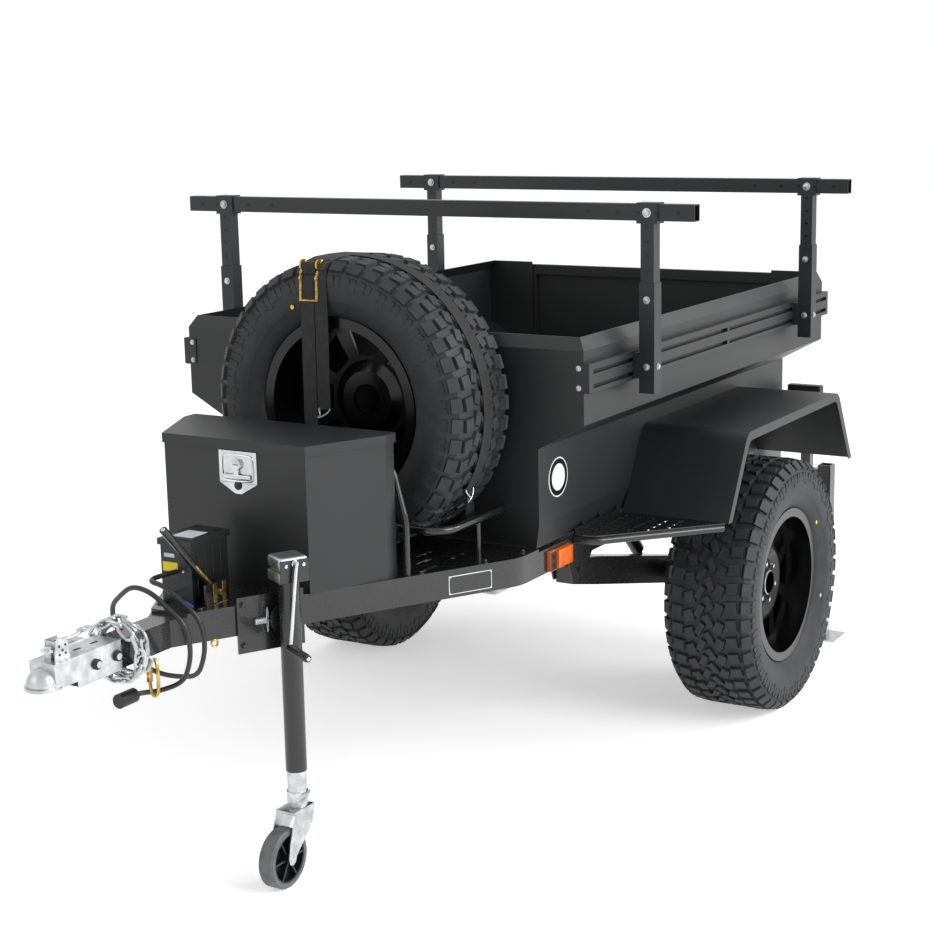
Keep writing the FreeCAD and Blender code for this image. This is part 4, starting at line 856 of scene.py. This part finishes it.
def makeTyreMarks():
    # small painted balance dots near the bead
    for name, colour, body, places in (
            ("dotsYellow", yellowLabel, "wheel_left", ((-1.105, 0.9682, 0.63),)),
            ("dotsWhite", whiteLabel, "wheel_left", ((-1.164, 0.9675, 0.345),))):
        bm = bmesh.new()
        for place in places:
            addRod(bm, place, Vector(place) + Vector((0, 0.0006, 0)), 0.0065, 20)
        finishPiece(name, bm, colour, body)
    bm = bmesh.new()
    addRod(bm, (0.5716, -0.073, 1.546), (0.572, -0.073, 1.546), 0.0065, 20)
    finishPiece("dotSpare", bm, yellowLabel, "chassis")


def makeBodyBolts():
    bm = bmesh.new()
    low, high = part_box("side_rail_left")
    # plated bolts of the rail's end plates and along the tub's shoulder
    for place in bothSides(((0.2535, 0.722, 1.364), (0.2535, 0.722, 1.305))):
        addBolt(bm, place, (1, 0, 0), 0.0062)
    for place in bothSides(((-0.072, 0.8252, 1.33), (-1.425, 0.8252, 1.33))):
        addBolt(bm, place, (0, math.copysign(1, place[1]), 0), 0.0075)
    spots = [(x, high[1] - 0.0006, low[2] + 0.0335) for x in (-1.62, -1.1, -0.55, 0.12)]
    for place in bothSides(spots):
        addRod(bm, place, Vector(place) + Vector((0, math.copysign(0.0005, place[1]), 0)), 0.006, 12)
    finishPiece("railBolts", bm, zincPlate, "chassis")
    bm = bmesh.new()
    for place in bothSides(((0.648, 0.405, 0.801), (0.452, 0.507, 0.801), (1.242, 0.071, 0.801),
                            (0.3, 0.55, 0.801), (0.86, 0.29, 0.801))):
        addBolt(bm, place, (0, 0, 1), 0.0075)
    for place in bothSides([(x, 0.5815, 0.82) for x in (-0.038, -0.158, -0.279)]):
        addBolt(bm, place, (0, math.copysign(1, place[1]), 0), 0.006)
    finishPiece("deckBolts", bm, frameEnamel, "chassis")


def makeRackParts():
    for end in ("front", "rear"):
        low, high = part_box("rack_bar_" + end)
        mid, clamp = (low[0] + high[0]) / 2, 0.0045
        level = high[2] - 0.03
        bm = bmesh.new()
        for sign in (-1, 1):
            # adjusting holes up each post, slots beside the clamp's bolt, holes along the bar, drawn as
            # near-black rods: painted shade inside the holes
            for index in range(5):
                z = 1.62 + 0.045 * index
                addRod(bm, (mid - 0.0222, sign * 0.8, z), (mid + 0.0222, sign * 0.8, z), 0.0055, 16)
            for y in (0.771, 0.829):
                addRod(bm, (low[0] - 0.0004, sign * y, level), (high[0] + 0.0004, sign * y, level),
                       0.0052, 16)
            for y in (0.9, 0.7, 0.6):
                addRod(bm, (low[0] + clamp - 0.0004, sign * y, level),
                       (high[0] - clamp + 0.0004, sign * y, level), 0.006, 16)
        finishPiece("rackHoleShade" + end.title(), bm, rimEnamel, "rack_" + end)
        bm = bmesh.new()
        for sign in (-1, 1):
            addBolt(bm, (high[0], sign * 0.8, level), (1, 0, 0), 0.0105)
            addBolt(bm, (low[0], sign * 0.8, level), (-1, 0, 0), 0.0105)
        finishPiece("rackBolts" + end.title(), bm, zincPlate, "rack_" + end)
        bm = bmesh.new()
        for sign in (-1, 1):
            for z in (1.33, 1.535):
                addBolt(bm, (mid + 0.0252, sign * 0.8, z), (1, 0, 0), 0.0085)
        finishPiece("sleeveBolts" + end.title(), bm, zincPlate, "chassis")


def makeLamps():
    low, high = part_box("tail_lights")
    for sign in (-1, 1):
        name = "Left" if sign > 0 else "Right"
        y0, y1 = sorted((sign * 0.607, sign * 0.742))
        bm = bmesh.new()
        addBox(bm, (low[0] + 0.006, y0, low[2]), (high[0], y1, high[2] - 0.001), 0.005, 3)
        finishPiece("lampHousing" + name, bm, blackPlastic, "chassis",
                    ("tail_lights",) if sign > 0 else ())
        bm = bmesh.new()
        addBox(bm, (low[0], y0 + 0.006, low[2] + 0.006), (low[0] + 0.009, y1 - 0.006, high[2] - 0.008),
               0.003, 3)
        finishPiece("lampLens" + name, bm, redLens, "chassis")
        bm = bmesh.new()
        for index in range(12):
            y = y0 + 0.012 + (y1 - y0 - 0.024) * index / 11
            addBox(bm, (low[0] - 0.0008, y - 0.0012, low[2] + 0.05), (low[0] + 0.002, y + 0.0012,
                                                                   high[2] - 0.012), 0.0005)
        finishPiece("lampRibs" + name, bm, amberLens, "chassis")
    bm = bmesh.new()
    for side in (-1, 1):
        a, b = sorted((side * 0.5825, side * 0.5944))
        addBox(bm, (0.1625, a, 0.7185), (0.2018, b, 0.7798), 0.002, 2)
        addBolt(bm, (0.182, side * 0.594, 0.762), (0, side, 0), 0.0045)
        addBolt(bm, (0.182, side * 0.594, 0.736), (0, side, 0), 0.0045)
    finishPiece("markerBrackets", bm, castIron, "chassis")


latchPlan = {"mid": 0.016, "half": 0.066, "top": 1.191, "shoulder": 1.098, "foot": 1.067}


def makeToolboxParts(plan):
    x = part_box("toolbox_latch")[0][0]
    mid, half, top, low = plan["mid"], plan["half"], plan["top"], plan["shoulder"]
    bm = bmesh.new()
    # pressed pan, square above and drawn to a blunt point below, with a rolled inner rim
    addBox(bm, (x, mid - half, low), (x + 0.0035, mid + half, top), 0.0012)
    addTaper(bm, (x, mid - half, plan["foot"]), (x + 0.0035, mid + half, low), foot=(1, 0.16))
    inner = half - 0.012
    addBar(bm, [(x + 0.0045, y, z) for y, z in (
        (mid - inner, top - 0.02), (mid - inner + 0.008, top - 0.012), (mid + inner - 0.008, top - 0.012),
        (mid + inner, top - 0.02), (mid + inner, low + 0.014), (mid + inner - 0.008, low + 0.006),
        (mid - inner + 0.008, low + 0.006), (mid - inner, low + 0.014))], 0.0032, True)
    # folding T handle on its round boss
    boss = (low + top) / 2 + 0.008
    addRod(bm, (x + 0.003, mid, boss), (x + 0.013, mid, boss), 0.017, 28, bevel=0.002)
    addBox(bm, (x + 0.005, mid - 0.048, low + 0.012), (x + 0.0135, mid + 0.048, low + 0.026), 0.004, 3)
    addBox(bm, (x + 0.005, mid - 0.008, low + 0.02), (x + 0.012, mid + 0.008, boss), 0.002, 2)
    finishPiece("latchPan", bm, stainless, "chassis", ("toolbox_latch",))
    bm = bmesh.new()
    # dust cover over the lock below the handle, and the key slot in the boss, drawn as a thin dark plate of
    # painted shade
    addRod(bm, (x + 0.002, mid, low - 0.007), (x + 0.0065, mid, low - 0.007), 0.013, 28, bevel=0.0015)
    addBox(bm, (x + 0.0125, mid - 0.009, boss - 0.0012), (x + 0.0134, mid + 0.009, boss + 0.0012))
    finishPiece("latchCover", bm, castIron, "chassis")
    bm = bmesh.new()
    # piano hinge knuckles behind the lid
    for index in range(14):
        y = -0.34 + index * 0.05
        addRod(bm, (0.691, y, 1.216), (0.691, y + 0.046, 1.216), 0.0042, 12)
    finishPiece("lidKnuckles", bm, zincPlate, "toolbox_lid")


def makePlates():
    # blank data plate riveted to the angled rail: dark enamel inside a bare metal edge
    angle = math.atan2(-0.5439, 0.966)
    place = Matrix.Translation((0.52, 0.4964, 0.753)) @ Matrix.Rotation(angle, 4, "Z")
    metal, face = bmesh.new(), bmesh.new()
    addBox(metal, (-0.073, 0.0002, -0.028), (0.073, 0.0011, 0.028), 0.0003)
    for u in (-0.069, 0.069):
        for w in (-0.024, 0.024):
            addRod(metal, (u, 0.001, w), (u, 0.0024, w), 0.0022, 10)
    addBox(face, (-0.0705, 0.001, -0.0255), (0.0705, 0.0015, 0.0255))
    for bm in (metal, face):
        bmesh.ops.transform(bm, matrix=place, verts=bm.verts)
    finishPiece("dataPlate", metal, stainless, "chassis")
    finishPiece("dataPlateFace", face, frameEnamel, "chassis")
    # bare round discs low on both sides of the tub: white, with a dark band
    white, dark = bmesh.new(), bmesh.new()
    for side in (-1, 1):
        for bm, radius, lift in ((white, 0.062, 0.0008), (dark, 0.058, 0.0011), (white, 0.042, 0.0014)):
            addRod(bm, (0.126, side * 0.5812, 1.001), (0.126, side * (0.582 + lift), 1.001), radius, 64)
    finishPiece("discWhite", white, whiteLabel, "chassis")
    finishPiece("discBand", dark, rimEnamel, "chassis")


def makeTailgateParts():
    low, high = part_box("tailgate")
    bm = bmesh.new()
    # paddle latches at the gate's top corners, hinge barrels below
    for y in (-0.44, 0.44):
        addBox(bm, (low[0] - 0.004, y - 0.045, high[2] - 0.12), (low[0] + 0.004, y + 0.045, high[2] - 0.045),
               0.003, 3)
        addBox(bm, (low[0] - 0.0048, y - 0.03, high[2] - 0.108), (low[0] - 0.002, y + 0.03,
                                                                high[2] - 0.08), 0.001)
    for y in (-0.4, 0, 0.4):
        addRod(bm, (-1.791, y - 0.04, low[2] + 0.0085), (-1.791, y + 0.04, low[2] + 0.0085), 0.008, 20,
               bevel=0.001)
    finishPiece("gateHardware", bm, zincPlate, "tailgate")


def makeChainEyes():
    bm = bmesh.new()
    for side in (-1, 1):
        # towing eyes under the angled rails
        addBar(bm, [(1.225 + 0.01 * math.cos(a) * 0.87, side * (0.0994 - 0.01 * math.cos(a) * 0.49),
                     0.706 + 0.01 * math.sin(a)) for a in [k * math.pi / 4 for k in range(8)]],
               0.003, True)
    finishPiece("chainEyes", bm, yellowZinc, "chassis")


makeChains(linkPlan)
makeCouplerParts(couplerPlan)
makeJackHead(jackPlan)
makeJackMount(mountPlan)
makeCaster(casterPlan)
print("tongue and jack dressed")
makeBatteryBox()
makeBrakeLever()
makeStrap()
makeTyreTie(tiePlan)
makeWheelParts()
makeTyreMarks()
print("spare, wheels and tongue fittings dressed")
makeBodyBolts()
makeRackParts()
makeLamps()
makeToolboxParts(latchPlan)
makePlates()
makeTailgateParts()
makeChainEyes()
print("body hardware made")


cablePlan = {"diameter": 0.014, "exit": (1.22, -0.025, 0.893), "plugEnd": (1.45, 0, 0.611)}


def makeCable(plan):
    # straight out of the battery box, two loops round the tongue, then back to the plug
    points = [plan["exit"], (1.245, -0.03, 0.893)]
    loops = 2
    perLoop = 14
    for index in range(loops * perLoop - 7):
        share = index / (loops * perLoop)
        angle = math.radians(100) - share * loops * 2 * math.pi
        reach = 0.143 + 0.008 * math.sin(5 * angle)
        # each loop leans: its top lies further forward than its foot
        x = 1.30 + 0.11 * share * 1.1 + 0.045 * math.sin(angle)
        points.append((x, reach * math.cos(angle), 0.752 + reach * math.sin(angle)))
    points += [(1.388, 0.038, 0.609), (1.42, 0.004, 0.609), plan["plugEnd"]]
    data = bpy.data.curves.new("towCable", "CURVE")
    data.dimensions = "3D"
    data.bevel_depth = plan["diameter"] / 2
    data.bevel_resolution = 4
    data.resolution_u = 8
    data.use_fill_caps = True
    spline = data.splines.new("NURBS")
    spline.points.add(len(points) - 1)
    for point, place in zip(spline.points, points):
        point.co = (*place, 1)
    spline.order_u = 3
    spline.use_endpoint_u = True
    piece = bpy.data.objects.new("towCable", data)
    scene.collection.objects.link(piece)
    data.materials.append(cableJacket)
    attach(piece, "chassis")
    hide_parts("tow_cable", "cable_coil")
    bare = data.copy()
    bare.bevel_depth = 0
    bareThing = bpy.data.objects.new("bare", bare)
    line = bpy.data.meshes.new_from_object(bareThing)
    bpy.data.objects.remove(bareThing)
    bpy.data.meshes.remove(line)


makeCable(cablePlan)
print("cable made")
